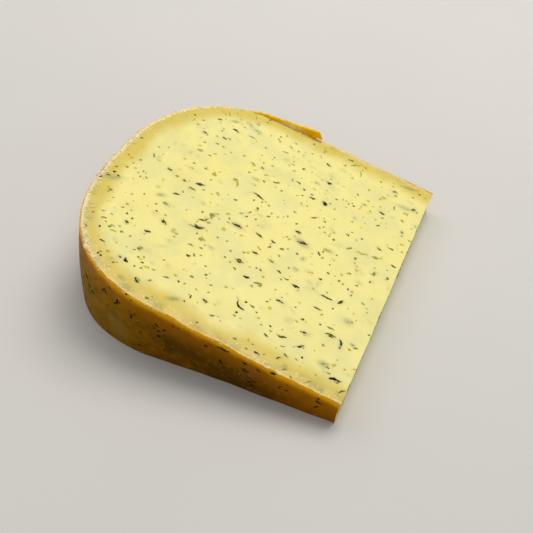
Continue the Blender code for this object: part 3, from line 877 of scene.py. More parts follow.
@dataclass(frozen=True)
class PhotoView:
    """Where the photograph was taken from, in the wedge's own frame."""

    target: tuple[float, float, float] = (0.00744, -0.00152, 0.0)
    azimuth: float = math.radians(20.23)
    elevation: float = math.radians(42.81)
    distance: float = 0.24953
    roll: float = math.radians(3.65)
    lens: float = 52.34
    sensor: float = 36.0
    picture: float = 533.0

    def placement(self) -> Matrix:
        """The camera's place and turn."""
        level = math.cos(self.elevation)
        away = Vector((
            math.sin(self.azimuth) * level,
            -math.cos(self.azimuth) * level,
            math.sin(self.elevation),
        ))
        turned = (-away).to_track_quat("-Z", "Y").to_matrix() @ Matrix.Rotation(self.roll, 3, "Z")
        return Matrix.Translation(Vector(self.target) + away * self.distance) @ turned.to_4x4()

    def on_upper_face(self, x: float, y: float) -> tuple[float, float]:
        """Where a pixel of the photograph meets the upper cut face.

        Args:
            x: The pixel's column.
            y: The pixel's row.

        Returns:
            Radius from the wheel's axis and place across.
        """
        placement = self.placement()
        scale = self.sensor / self.lens / self.picture
        middle = self.picture / 2
        ray = placement.to_3x3() @ Vector(((x - middle) * scale, (middle - y) * scale, -1))
        normal = Vector((math.sin(CUT.wedge_angle), 0, math.cos(CUT.wedge_angle)))
        axis = Vector((CUT.axis_x, 0, 0))
        reach = (axis - placement.translation).dot(normal) / ray.dot(normal)
        hit = placement.translation + ray * reach - axis
        return math.hypot(hit.x, hit.z), hit.y

    def project(self, points: np.ndarray) -> np.ndarray:
        """The photograph's pixels at which world points show.

        Args:
            points: A row of three coordinates for each point.

        Returns:
            A row of column and row for each point.
        """
        turned = np.array(self.placement().inverted())
        seen = points @ turned[:3, :3].T + turned[:3, 3]
        scale = self.lens * self.picture / self.sensor / seen[:, 2]
        middle = self.picture / 2
        return np.stack((middle - seen[:, 0] * scale, middle + seen[:, 1] * scale), axis=1)

    def add_camera(self) -> None:
        """Make the scene's camera."""
        data = bpy.data.cameras.new("camera")
        data.lens = self.lens
        data.sensor_width = self.sensor
        data.clip_start = 0.01
        camera = bpy.data.objects.new("camera", data)
        camera.matrix_world = self.placement()
        bpy.context.scene.collection.objects.link(camera)
        bpy.context.scene.camera = camera


VIEW = PhotoView()

# The largest flakes, as in the solid: the photograph's pixels at both ends of each, and its width in mm
LARGE_FLAKES = (
    (252.9, 192.3, 264.3, 201.2, 0.6), (297.6, 240.3, 307.6, 246.1, 1.5), (321.3, 201.5, 327.0, 206.0, 1.7),
    (295.0, 231.0, 300.6, 234.5, 1.1), (234.4, 258.5, 243.5, 264.2, 1.5), (243.0, 276.2, 249.7, 278.6, 0.8),
    (255.8, 232.0, 262.2, 238.4, 0.6), (232.0, 223.1, 242.1, 228.4, 0.8), (291.8, 284.3, 298.5, 289.6, 0.9),
    (320.1, 294.8, 332.5, 300.6, 0.6), (337.3, 303.0, 344.5, 301.8, 1.0), (313.4, 306.8, 322.0, 310.6, 0.5),
    (275.6, 299.9, 284.2, 303.7, 0.7), (238.7, 299.3, 244.5, 310.6, 0.7), (202.0, 300.0, 208.0, 303.0, 1.2),
    (324.6, 334.6, 335.9, 338.1, 0.9), (339.9, 339.4, 339.9, 348.9, 0.7), (276.3, 333.6, 286.8, 337.4, 0.7),
    (296.4, 346.2, 305.0, 345.6, 0.7), (328.0, 378.1, 341.8, 382.1, 0.8), (188.4, 225.3, 205.1, 227.7, 1.0),
    (197.5, 219.0, 206.6, 221.0, 0.6), (160.7, 218.6, 166.9, 224.3, 1.0), (143.9, 229.6, 151.1, 232.0, 0.8),
    (195.1, 182.7, 205.1, 187.0, 1.0), (232.9, 128.7, 240.1, 133.0, 0.8), (379.0, 211.5, 384.7, 214.9, 0.8),
    (309.0, 197.3, 315.8, 199.2, 0.6), (325.8, 181.3, 331.5, 184.8, 1.0), (319.0, 363.0, 328.5, 365.3, 1.0),
)
# How far each of those bends, as a share of its length
LARGE_BENDS = (
    0.10, 0.05, 0.0, 0.1, 0.05, -0.1, 0.02, 0.05, 0.1, 0.12, 0.1, 0.08, -0.05, -0.50, 0.05,
    0.16, 0.18, -0.20, -0.16, 0.10, -0.10, 0.10, 0.05, -0.12, 0.06, 0.05, 0.0, -0.08, 0.05, 0.02,
)
# Those of them, by row, that lie deep in the paste, and how far each is veiled
LARGE_SOFT = {12: 0.45, 14: 0.55, 16: 0.40, 17: 0.34, 18: 0.48, 21: 0.45, 25: 0.42, 29: 0.95}

# Smaller herbs as the photograph shows them: the pixels at both ends, and the width in mm
DARK_SIGHTINGS = (
    (251.2, 251.5, 257.7, 255.0, 0.9), (270.8, 240.1, 275.1, 243.7, 0.8), (249.3, 304.4, 254.0, 308.2, 0.8),
    (302.0, 332.0, 307.0, 333.5, 1.1), (264.2, 333.1, 268.2, 337.0, 0.7), (284.0, 353.0, 287.3, 357.5, 0.8),
    (276.0, 358.8, 281.6, 357.2, 0.7), (254.3, 350.8, 260.3, 354.2, 0.8), (337.5, 393.4, 345.7, 391.0, 0.9),
    (172.6, 193.5, 179.8, 195.0, 0.9), (222.8, 136.8, 227.1, 139.2, 0.7), (362.2, 204.1, 366.5, 205.1, 0.9),
    (376.1, 226.1, 380.4, 225.7, 0.6), (326.8, 163.5, 331.1, 167.3, 0.9), (162.7, 276.7, 169.4, 278.1, 0.7),
    (187.9, 243.9, 193.7, 246.5, 0.6), (99.6, 239.4, 105.3, 241.7, 0.6), (153.5, 153.0, 154.5, 158.0, 0.8),
    (133.9, 280.0, 139.5, 283.6, 1.3), (195.0, 223.4, 197.5, 227.0, 1.0),
    (105.2, 174.0, 110.8, 175.5, 1.1), (117.0, 175.0, 120.0, 177.0, 1.1), (98.6, 176.5, 102.1, 175.5, 0.8),
    (91.0, 210.7, 95.0, 212.0, 1.0), (125.3, 220.4, 128.3, 223.8, 1.1), (125.6, 257.4, 125.6, 262.0, 1.1),
    (133.3, 265.1, 134.8, 267.1, 0.9), (119.0, 255.4, 121.0, 258.0, 0.7), (337.8, 280.6, 341.0, 281.4, 0.8),
)
DARK_DOTS = (
    (353.6, 206.1), (320.3, 324.5), (236.6, 312.3), (302.1, 357.5), (156.6, 210.9), (156.1, 203.9),
    (296.5, 224.2), (323.5, 227.6), (324.9, 222.3), (178.5, 281.4), (184.2, 301.5), (246.6, 216.6),
    (98.1, 252.3), (101.0, 255.6), (419.6, 194.6), (206.5, 219.5), (262.0, 202.5), (99.6, 226.2),
    (127.1, 213.3), (144.2, 193.6), (142.2, 263.0), (135.3, 278.4), (302.2, 195.7), (361.7, 239.4),
    (270.3, 120.6), (302.5, 134.0), (369.9, 282.1), (348.1, 289.2), (332.8, 308.5), (328.2, 273.6),
)
OLIVE_DOTS = (
    (203.6, 190.1), (228.2, 194.6), (250.2, 212.4), (254.0, 200.3), (271.8, 213.4), (268.7, 205.7),
    (249.5, 171.9), (244.1, 252.9), (194.0, 254.5), (217.6, 237.3), (294.5, 236.5), (330.1, 204.1),
    (348.5, 204.1), (370.3, 211.0), (381.0, 181.9), (351.9, 232.4), (287.7, 249.2), (323.2, 251.9),
    (143.5, 171.4), (123.3, 206.9), (112.9, 262.0), (140.4, 176.5), (133.3, 163.3), (304.0, 190.0),
    (268.1, 122.8), (343.0, 284.0), (351.2, 295.3), (287.1, 136.3), (230.0, 115.5), (265.9, 147.8),
    (244.3, 155.6), (294.1, 161.7), (298.8, 151.2), (312.7, 153.7), (321.2, 157.7),
)
MUSTARD_DOTS = (
    (211.9, 193.9), (201.7, 237.3), (247.0, 225.8), (227.5, 222.3), (273.8, 176.1), (249.5, 267.6),
    (201.0, 255.1), (183.8, 269.5), (279.2, 256.1), (206.8, 230.6), (319.6, 193.8), (334.3, 209.5),
    (375.6, 219.6), (368.4, 212.9), (341.6, 274.9), (347.7, 273.7), (312.1, 253.5), (130.2, 236.0),
    (141.4, 268.2), (261.0, 206.5), (297.0, 196.0), (324.6, 232.6), (330.0, 234.0), (362.5, 170.0),
    (372.0, 299.1), (353.4, 314.1), (321.9, 314.4), (327.1, 292.6), (306.2, 321.7), (226.0, 114.6),
    (262.0, 155.2), (253.4, 142.8), (231.1, 152.1), (289.6, 165.7), (303.8, 155.4),
)
OLIVE_SIGHTINGS = (
    (253.1, 282.9, 262.9, 284.8, 0.9), (272.7, 182.2, 280.2, 183.2, 0.9), (248.2, 135.1, 255.8, 138.4, 0.9),
    (188.4, 187.0, 196.0, 191.3, 1.0), (310.0, 217.8, 316.7, 218.3, 0.7), (282.5, 277.6, 288.5, 280.5, 0.8),
    (352.2, 348.0, 358.1, 349.2, 0.8), (327.5, 326.4, 334.7, 330.7, 0.7), (386.6, 246.7, 393.3, 250.5, 0.9),
    (376.1, 248.1, 381.8, 251.0, 0.8), (345.5, 249.1, 351.7, 248.1, 0.9), (361.0, 171.1, 360.8, 176.9, 0.7),
    (350.7, 165.9, 363.2, 165.4, 0.6), (209.0, 314.5, 214.8, 315.9, 0.7), (208.1, 285.3, 212.9, 286.0, 0.8),
    (136.8, 256.6, 139.8, 257.8, 0.8), (100.6, 216.3, 107.2, 217.9, 1.0), (172.0, 235.6, 175.2, 237.0, 0.8),
    (139.4, 160.0, 142.4, 161.0, 1.0), (131.0, 218.0, 133.8, 219.0, 1.0), (132.2, 249.3, 135.8, 249.6, 0.8),
    (302.8, 188.8, 305.3, 190.8, 0.8), (394.4, 206.4, 394.6, 210.4, 0.7), (391.0, 185.0, 395.0, 187.0, 0.7),
    (192.5, 162.4, 195.7, 163.8, 0.8), (208.6, 154.4, 211.8, 155.6, 0.8), (302.8, 382.6, 311.2, 381.2, 0.5),
    (281.8, 369.6, 288.0, 369.8, 0.7), (145.0, 297.0, 149.8, 298.4, 0.9), (231.5, 338.6, 236.9, 339.6, 1.3),
    (244.5, 347.6, 248.0, 348.8, 0.8), (263.0, 353.6, 266.2, 354.0, 0.6), (313.4, 350.4, 315.4, 351.0, 0.6),
    (289.9, 375.0, 291.8, 378.8, 0.7), (280.2, 345.6, 285.8, 346.4, 0.4), (237.2, 112.9, 237.8, 115.1, 0.6),
    (256.6, 117.0, 256.4, 119.8, 0.6), (361.2, 302.6, 364.8, 305.6, 0.6), (282.4, 151.0, 288.8, 153.6, 0.7),
    (243.2, 126.8, 246.8, 128.4, 0.6), (294.6, 142.3, 297.6, 144.4, 0.5), (250.2, 161.6, 255.0, 164.5, 0.7),
)
MUSTARD_SIGHTINGS = (
    (237.8, 178.8, 236.2, 186.7, 0.9), (211.8, 173.4, 215.8, 175.8, 1.0), (256.9, 245.6, 260.3, 250.8, 0.8),
    (276.6, 216.4, 279.4, 217.6, 0.7), (356.5, 251.7, 366.1, 255.3, 0.8), (384.4, 223.2, 387.0, 224.4, 0.7),
    (399.5, 244.0, 404.3, 245.6, 1.1), (224.0, 286.4, 227.6, 288.0, 0.7), (231.2, 288.0, 233.8, 289.2, 0.6),
    (143.1, 266.1, 149.3, 269.0, 0.9), (269.0, 329.8, 272.2, 331.2, 0.8), (191.0, 167.0, 193.8, 168.6, 0.8),
    (376.8, 257.6, 379.2, 258.8, 0.7), (310.6, 272.4, 313.4, 273.6, 0.7), (206.6, 218.2, 209.6, 219.0, 0.7),
    (264.4, 201.4, 267.0, 203.2, 0.7), (302.5, 334.5, 306.5, 335.2, 0.6), (213.5, 213.4, 219.2, 214.6, 0.9),
    (109.3, 229.4, 117.0, 232.5, 0.7), (354.8, 268.6, 358.4, 271.4, 1.1), (213.9, 171.6, 216.2, 176.6, 1.2),
    (378.8, 258.0, 383.2, 259.4, 0.9), (226.0, 222.0, 229.6, 222.8, 0.7), (296.8, 302.2, 300.8, 303.4, 0.6),
    (295.2, 319.2, 298.2, 323.2, 0.6),
)
BROWN_SIGHTINGS = (
    (318.0, 251.4, 319.4, 256.4, 0.9), (201.2, 211.0, 203.8, 212.2, 0.8), (295.7, 182.0, 300.9, 184.5, 1.0),
    (189.5, 299.1, 191.9, 295.3, 0.7), (390.9, 264.9, 396.0, 268.2, 0.8), (162.4, 259.8, 165.0, 261.0, 0.7),
    (276.5, 270.4, 281.3, 273.8, 0.8), (339.6, 346.8, 340.0, 349.2, 0.9),
)
BURIED_SIGHTINGS = (
    (344.0, 321.0, 351.2, 323.4, 1.9), (318.6, 362.0, 328.8, 366.4, 2.2), (232.0, 223.1, 242.1, 228.4, 2.0),
    (325.8, 250.2, 332.5, 252.8, 1.6), (293.4, 268.4, 298.0, 270.6, 1.4), (254.0, 178.1, 259.5, 180.3, 1.4),
    (156.8, 194.0, 165.0, 195.6, 1.5), (156.6, 185.8, 160.0, 187.2, 1.2), (189.0, 151.4, 192.6, 152.8, 1.2),
    (201.8, 202.6, 205.6, 204.0, 1.2), (124.8, 221.6, 128.6, 223.2, 1.3), (167.5, 298.7, 179.4, 299.6, 1.5),
    (399.1, 205.6, 411.0, 211.3, 1.8), (403.8, 186.4, 416.3, 190.7, 1.6), (414.4, 226.1, 418.0, 228.0, 1.5),
    (315.8, 181.9, 319.2, 185.0, 1.3), (319.0, 388.6, 323.6, 390.6, 1.5), (117.8, 255.8, 121.6, 257.4, 1.2),
    (119.0, 276.2, 123.0, 277.8, 1.3), (171.6, 229.8, 175.2, 231.2, 1.3), (104.0, 176.6, 121.0, 178.2, 1.9),
    (296.6, 239.6, 307.4, 247.0, 2.6), (208.5, 246.0, 213.0, 248.8, 1.2), (354.0, 217.2, 355.6, 219.6, 1.2),
    (232.2, 121.4, 238.8, 122.8, 1.4), (300.6, 259.6, 305.4, 257.8, 1.2), (249.0, 123.4, 253.4, 127.6, 1.3),
    (253.6, 129.0, 261.0, 132.4, 1.5), (283.0, 366.0, 286.8, 366.6, 1.3),
)


def shape_blank(cells_along: int, cells_across: int) -> Shape:
    """A flat slab of unit size that flakes and shreds are bent from.

    Args:
        cells_along: How many cells it has along X.
        cells_across: How many it has along Y.

    Returns:
        Its points, with the upper side at 0 and the lower one at -1, and its faces.
    """
    deselect_all()
    bpy.ops.mesh.primitive_grid_add(x_subdivisions=cells_along, y_subdivisions=cells_across, size=1)
    bpy.ops.object.mode_set(mode="EDIT")
    bpy.ops.mesh.select_all(action="SELECT")
    bpy.ops.mesh.extrude_region_move(TRANSFORM_OT_translate={"value": (0, 0, -1)})
    bpy.ops.object.mode_set(mode="OBJECT")
    return take_shape(bpy.context.object)


def round_blank(fineness: int) -> Shape:
    """A small ball that crumbs are squeezed from.

    Args:
        fineness: How many times the ball's faces are divided.

    Returns:
        Its points and its faces.
    """
    deselect_all()
    bpy.ops.mesh.primitive_ico_sphere_add(subdivisions=fineness, radius=1)
    return take_shape(bpy.context.object)


def take_shape(piece: bpy.types.Object) -> Shape:
    """Read a piece's shape, then remove the piece.

    Args:
        piece: The piece.

    Returns:
        Its points and its faces.
    """
    shape = coordinates(piece.data), [tuple(polygon.vertices) for polygon in piece.data.polygons]
    bpy.data.objects.remove(piece, do_unlink=True)
    return shape


# Herbs in the rind as the photograph shows them: the pixels at both ends, and the width in mm
RIND_SIGHTINGS = (
    (92.0, 289.0, 94.5, 294.5, 0.7), (104.6, 287.6, 106.2, 293.8, 0.8), (104.4, 288.0, 102.1, 291.6, 0.6),
    (108.7, 286.5, 110.2, 289.0, 0.6), (95.5, 277.0, 96.2, 280.0, 0.5), (117.3, 299.0, 117.6, 304.6, 0.7),
    (118.6, 301.5, 120.6, 304.4, 0.5), (129.6, 299.3, 132.4, 300.8, 0.6), (107.4, 304.2, 109.0, 305.8, 0.5),
    (132.6, 313.4, 135.7, 315.8, 0.8), (136.7, 321.5, 138.0, 323.4, 0.4), (151.5, 324.5, 153.4, 327.0, 0.5),
    (153.2, 327.6, 156.2, 329.0, 0.7), (137.9, 331.0, 142.0, 333.0, 0.5), (156.5, 335.0, 160.6, 337.3, 0.8),
    (154.0, 342.0, 156.4, 343.2, 0.5), (136.5, 343.8, 140.5, 345.0, 0.5), (125.0, 294.0, 127.0, 295.2, 0.4),
    (165.4, 340.5, 166.8, 342.9, 0.5), (168.7, 347.8, 171.5, 350.4, 0.6), (163.0, 349.5, 166.0, 351.0, 0.5),
    (203.6, 344.3, 207.6, 347.0, 0.9), (215.8, 346.0, 219.4, 347.6, 0.7), (190.3, 360.0, 192.0, 360.8, 0.4),
    (220.3, 359.0, 222.5, 365.0, 0.6), (216.0, 368.2, 218.0, 370.0, 0.5), (207.5, 372.3, 209.3, 373.5, 0.4),
    (242.0, 362.0, 247.5, 365.3, 0.9), (171.0, 324.8, 173.6, 326.3, 0.5), (249.4, 383.5, 254.0, 387.0, 0.5),
    (277.5, 386.2, 280.2, 388.9, 0.6), (287.0, 384.2, 288.2, 386.2, 0.3), (315.0, 399.6, 321.0, 404.3, 1.0),
    (219.0, 347.0, 229.7, 352.5, 0.8), (241.3, 367.5, 249.4, 372.1, 0.4), (242.0, 370.0, 248.0, 373.4, 0.3),
    (252.0, 386.9, 255.4, 389.6, 0.7), (86.0, 272.0, 88.0, 279.0, 0.8), (88.6, 283.0, 91.0, 288.0, 0.7),
    (270.2, 370.6, 276.8, 373.2, 0.9),
)
# White streaks, tufts and crumbs along the rim as the photograph shows them, in the same way
WHITE_STREAKS = (
    (84.8, 204.6, 87.9, 208.7, 0.6), (87.4, 208.2, 90.6, 212.0, 0.7), (88.4, 201.5, 95.5, 203.1, 0.6),
    (89.4, 206.0, 95.5, 206.8, 0.7), (86.8, 216.2, 93.5, 216.6, 0.6), (85.3, 219.4, 87.3, 222.4, 0.5),
    (83.3, 225.5, 87.6, 226.5, 0.6), (103.2, 167.9, 106.8, 169.6, 1.0), (105.0, 170.2, 110.3, 172.4, 1.0),
    (99.6, 172.4, 105.7, 176.0, 0.8), (95.6, 174.6, 96.4, 172.0, 0.5), (97.6, 178.6, 105.7, 180.6, 0.8),
    (116.6, 174.0, 118.2, 174.9, 0.5), (120.6, 182.8, 122.6, 183.6, 0.5), (95.4, 181.0, 97.4, 186.4, 0.6),
    (89.2, 188.8, 90.8, 190.0, 0.7), (111.8, 159.6, 115.9, 160.4, 0.5), (106.0, 200.2, 112.0, 200.6, 0.3),
    (82.7, 243.2, 81.9, 249.6, 1.2), (84.4, 231.6, 85.2, 238.4, 0.7), (87.0, 231.6, 88.0, 237.2, 0.7),
    (87.6, 240.2, 90.0, 244.6, 0.9), (89.8, 244.4, 92.2, 248.0, 0.8), (89.5, 249.8, 90.9, 252.8, 0.6),
    (104.7, 242.9, 105.9, 245.7, 0.5), (106.8, 264.3, 110.6, 266.9, 0.7), (118.6, 285.2, 123.6, 286.6, 0.5),
    (127.6, 276.6, 129.0, 277.2, 0.4), (113.0, 154.0, 117.6, 152.4, 0.6), (119.6, 150.6, 122.4, 151.4, 0.6),
    (126.0, 144.6, 130.6, 141.6, 0.6), (131.6, 138.6, 136.4, 135.4, 0.7), (136.0, 131.6, 140.6, 129.4, 0.6),
    (126.6, 149.2, 129.6, 148.4, 0.5), (133.0, 143.6, 136.6, 143.0, 0.5), (197.0, 106.2, 202.0, 106.6, 0.6),
    (207.0, 105.6, 212.6, 106.2, 0.7), (217.6, 106.6, 221.6, 107.6, 0.6), (249.0, 114.2, 251.4, 115.6, 0.5),
    (333.2, 399.4, 339.6, 402.2, 0.7), (245.6, 355.4, 251.0, 358.6, 0.6), (263.6, 365.6, 270.0, 369.4, 0.6),
    (276.0, 371.8, 281.6, 375.0, 0.5), (148.6, 300.4, 153.6, 303.4, 0.5), (383.6, 169.6, 390.0, 173.4, 0.6),
)
# The rind's pale worn patch and its scratched stretch: the pixels at both ends, and the width in mm
WORN_PATCH = (113.0, 314.0, 123.0, 339.0, 5.0)
SCRATCHED_PATCH = (238.0, 364.0, 256.0, 384.0, 6.0)


class RindSights:
    """The stretch of rind that the photograph shows, to find the place of a pixel on it."""

    def __init__(self, reach: float = 0.100, steps: int = 1000, levels: int = 80) -> None:
        """Lay a grid of points over the rind.

        Args:
            reach: How far it goes from the front of the tip.
            steps: How many points it has along the rind.
            levels: How many it has up the rind.
        """
        runs, radii, _ = CUT.outline()
        share = np.tile(np.linspace(0, 1, levels), steps)
        self.run = np.repeat(np.linspace(0, reach, steps), levels)
        self.rise = share * CUT.wedge_angle * np.interp(self.run, runs, radii)
        self.pixels = VIEW.project(CUT.on_rind(self.run, self.rise, 0.0))

    def at(self, x: float, y: float) -> tuple[float, float]:
        """The running length and the height up the rind at a pixel."""
        nearest = int(np.argmin(np.hypot(self.pixels[:, 0] - x, self.pixels[:, 1] - y)))
        return float(self.run[nearest]), float(self.rise[nearest])

    def measure(self, sighting: tuple[float, ...]) -> tuple[float, float, float, float, float]:
        """A sighting's running length, height, length, width and turn on the rind."""
        first, second = self.at(*sighting[:2]), self.at(*sighting[2:4])
        run, rise = ((a + b) / 2 for a, b in zip(first, second))
        turn = math.atan2(second[1] - first[1], second[0] - first[0])
        return run, rise, math.dist(first, second), sighting[4] * MM, turn

    def patch(self, sighting: tuple[float, ...]) -> "Blotch":
        """A sighting as a soft spot of full strength."""
        return Blotch(*self.measure(sighting), 1.0)


@dataclass
class HerbScatter:
    """Where every herb lies: the solid's flakes, those read from the photograph, and seeded small ones."""

    cad_seed: int = 41
    cad_count: int = 72
    cad_lengths: tuple[float, float] = (0.0012, 0.0024)
    cad_aspects: tuple[float, float] = (0.42, 0.75)
    cad_margin: float = 0.0030
    cad_spacing: float = 0.0009
    tip_seed: int = 23
    tip_count: int = 9
    tip_aspect: float = 0.5
    spread: float = math.radians(24)
    small_seed: int = 7
    small_sorts: tuple[tuple[HerbKind, int, float], ...] = (
        (HerbKind.DARK, 56, 0.38), (HerbKind.OLIVE, 190, 0.50), (HerbKind.MUSTARD, 150, 0.36),
        (HerbKind.BROWN, 10, 0.30),
    )
    small_lengths: tuple[float, float] = (0.0005, 0.0014)
    seen_width: float = 0.72
    seen_bends: tuple[float, ...] = (0.12, -0.10, 0.04)
    seen_margin: float = 0.3 * MM
    spot_margin: float = 1.2 * MM
    spot_tip_margin: float = 0.5 * MM
    halo_strength: float = 0.26
    halo_from: float = 1.4 * MM
    rind_halo_from: float = 1.2 * MM
    dot_length: float = 0.00085
    dot_width: float = 0.00055
    dot_sizes: tuple[float, float, float] = (1.0, 0.75, 1.15)
    dot_turn: float = 37
    buried_count: int = 170
    cloud_count: int = 18
    rind_clearance: float = 0.9
    rind_count: int = 110
    flakes: dict[Skin, list[Flake]] = field(default_factory=lambda: {face: [] for face in Skin})
    blotches: dict[Skin, list[Blotch]] = field(default_factory=lambda: {face: [] for face in Skin})

    def plan(self) -> None:
        """Settle every flake and every shade of a buried one."""
        self._solid_flakes()
        self._tip_flakes()
        self._seen_flakes()
        draw = random.Random(self.small_seed)
        self._small_flakes(draw, Skin.UPPER, 1.0)
        self._small_flakes(draw, Skin.UNDER, 0.8)
        self._small_flakes(draw, Skin.TIP, 0.12)
        self._rind_flakes(draw)
        for face in Skin:
            self.blotches[face].extend(
                flake.halo(self.halo_strength) for flake in self.flakes[face]
                if flake.length > self.halo_from and flake.kind is HerbKind.DARK
            )
        self.blotches[Skin.RIND].extend(
            Blotch(f.along, f.across, f.length * 1.2, f.width * 1.8, f.turn, self.halo_strength)
            for f in self.flakes[Skin.RIND] if f.length > self.rind_halo_from
        )

    def _solid_flakes(self) -> None:
        """The flakes that the solid has on its upper face, by the same rule and draws."""
        upper = self.flakes[Skin.UPPER]
        for row, (sighting, bend) in enumerate(zip(LARGE_FLAKES, LARGE_BENDS)):
            upper.append(Flake(*self._measure(sighting), bend, veil=LARGE_SOFT.get(row, 0.22)))
        draw = random.Random(self.cad_seed)
        while len(upper) < self.cad_count:
            radius = draw.uniform(CUT.tip_radius, CUT.rim_radius)
            across = draw.uniform(-CUT.half, CUT.half)
            length = draw.uniform(*self.cad_lengths)
            width = length * draw.uniform(*self.cad_aspects)
            turn = draw.gauss(0, self.spread)
            if CUT.at(radius, across)[0] < self.cad_margin or radius < CUT.tip_radius + self.cad_margin:
                continue
            apart = [
                math.dist((radius, across), (f.along, f.across)) - (length + f.length) / 2 for f in upper
            ]
            if min(apart) > self.cad_spacing:
                kind = (HerbKind.OLIVE, HerbKind.DARK, HerbKind.OLIVE, HerbKind.MUSTARD)[len(upper) % 4]
                upper.append(Flake(radius, across, length, width, turn, 0.1, FlakeForm.LENS, kind, 0.62))

    def _tip_flakes(self) -> None:
        """The flakes that the solid has on its tip."""
        draw = random.Random(self.tip_seed)
        for index in range(self.tip_count):
            share = (index + 0.5) / self.tip_count
            across = CUT.half * 0.94 * (2 * share - 1)
            rise = CUT.wedge_angle * draw.uniform(0.22, 0.78) * CUT.tip_radius
            length = draw.uniform(*self.cad_lengths)
            turn = math.radians(90) + draw.gauss(0, self.spread)
            self.flakes[Skin.TIP].append(Flake(rise, across, length, length * self.tip_aspect, turn))

    def _seen_flakes(self) -> None:
        """The smaller herbs that the photograph shows on the upper face."""
        upper = self.flakes[Skin.UPPER]
        sorts = (
            (DARK_SIGHTINGS, HerbKind.DARK, 0.33), (OLIVE_SIGHTINGS, HerbKind.OLIVE, 0.40),
            (MUSTARD_SIGHTINGS, HerbKind.MUSTARD, 0.25), (BROWN_SIGHTINGS, HerbKind.BROWN, 0.20),
        )
        for sightings, kind, veil in sorts:
            for index, sighting in enumerate(sightings):
                form = (FlakeForm.LENS, FlakeForm.STRIP, FlakeForm.WEDGE)[index % 3]
                along, across, length, width, turn = self._measure(sighting)
                bend = self.seen_bends[index % 3]
                width *= self.seen_width
                upper.append(Flake(along, across, length, width, turn, bend, form, kind, veil))
        dots = (
            (DARK_DOTS, HerbKind.DARK, 0.26), (OLIVE_DOTS, HerbKind.OLIVE, 0.32),
            (MUSTARD_DOTS, HerbKind.MUSTARD, 0.24),
        )
        for places, kind, veil in dots:
            for index, (x, y) in enumerate(places):
                radius, across = VIEW.on_upper_face(x, y)
                turn = math.radians(self.dot_turn * index)
                length, width = self.dot_length * self.dot_sizes[index % 3], self.dot_width
                upper.append(Flake(radius, across, length, width, turn, 0.0, FlakeForm.CHUNK, kind, veil))
        upper[:] = [flake for flake in upper if self._lies_on_face(flake)]
        for sighting in BURIED_SIGHTINGS:
            along, across, length, width, turn = self._measure(sighting)
            self.blotches[Skin.UPPER].append(Blotch(along, across, length * 1.2, width, -turn, 0.72))

    def _lies_on_face(self, flake: Flake) -> bool:
        """Whether a flake lies on the upper face, so that none floats beyond its edge.

        Args:
            flake: The flake.

        Returns:
            True where its middle is far enough inside the edge.
        """
        inside = CUT.at(flake.along, flake.across)[0] >= self.seen_margin
        if not inside:
            LOG.warning("left out beyond the edge: %s", flake)
        return inside

    @staticmethod
    def _measure(sighting: tuple[float, ...]) -> tuple[float, float, float, float, float]:
        """A sighting's radius, place across, length, width and turn on the upper face."""
        first = VIEW.on_upper_face(*sighting[:2])
        second = VIEW.on_upper_face(*sighting[2:4])
        along, across = ((a + b) / 2 for a, b in zip(first, second))
        turn = math.atan2(second[1] - first[1], first[0] - second[0])
        return along, across, math.dist(first, second), sighting[4] * MM, turn

    def _small_flakes(self, draw: random.Random, face: Skin, share: float) -> None:
        """Seeded small herbs and buried ones.

        Args:
            draw: The seeded generator.
            face: The face that they lie in.
            share: How many of the counts that face gets.
        """
        for kind, count, veil in self.small_sorts:
            for _ in range(round(count * share)):
                along, across = self._spot(draw, face)
                length = draw.uniform(*self.small_lengths) * draw.uniform(0.6, 1.2)
                width = length * draw.uniform(0.35, 0.75)
                turn = draw.gauss(0, self.spread * 1.4)
                form = draw.choice(list(FlakeForm))
                bend = draw.uniform(-0.2, 0.2)
                hidden = veil * draw.uniform(0.7, 1.4)
                self.flakes[face].append(Flake(along, across, length, width, turn, bend, form, kind, hidden))
        for _ in range(round(self.buried_count * share)):
            self._bury(draw, face, (1.0, 3.0), (0.35, 0.7), (0.08, 0.36))
        for _ in range(round(self.cloud_count * share)):
            self._bury(draw, face, (6.0, 12.0), (0.5, 0.8), (0.06, 0.13))

    def _bury(
        self, draw: random.Random, face: Skin, lengths: tuple[float, float], aspects: tuple[float, float],
        strengths: tuple[float, float],
    ) -> None:
        """Add the shade of one herb under the surface.

        Args:
            draw: The seeded generator.
            face: The face that it lies under.
            lengths: Its shortest and longest length, in mm.
            aspects: The range of its width, as a share of its length.
            strengths: The range of its darkness.
        """
        along, across = self._spot(draw, face)
        length = draw.uniform(*lengths) * MM
        width = length * draw.uniform(*aspects)
        turn = draw.gauss(0, self.spread * 1.4)
        self.blotches[face].append(Blotch(along, across, length, width, turn, draw.uniform(*strengths)))

    def _spot(self, draw: random.Random, face: Skin) -> tuple[float, float]:
        """A random place on a cut face, clear of its edges.

        Args:
            draw: The seeded generator.
            face: The cut face.

        Returns:
            The place's two coordinates on that face.
        """
        if face is Skin.TIP:
            rise = CUT.wedge_angle * CUT.tip_radius * draw.uniform(0.06, 0.94)
            return rise, CUT.half * draw.uniform(-0.97, 0.97)
        while True:
            radius = draw.uniform(CUT.tip_radius + self.spot_tip_margin, CUT.rim_radius)
            across = draw.uniform(-CUT.half, CUT.half)
            if CUT.at(radius, across)[0] > self.spot_margin:
                return radius, across

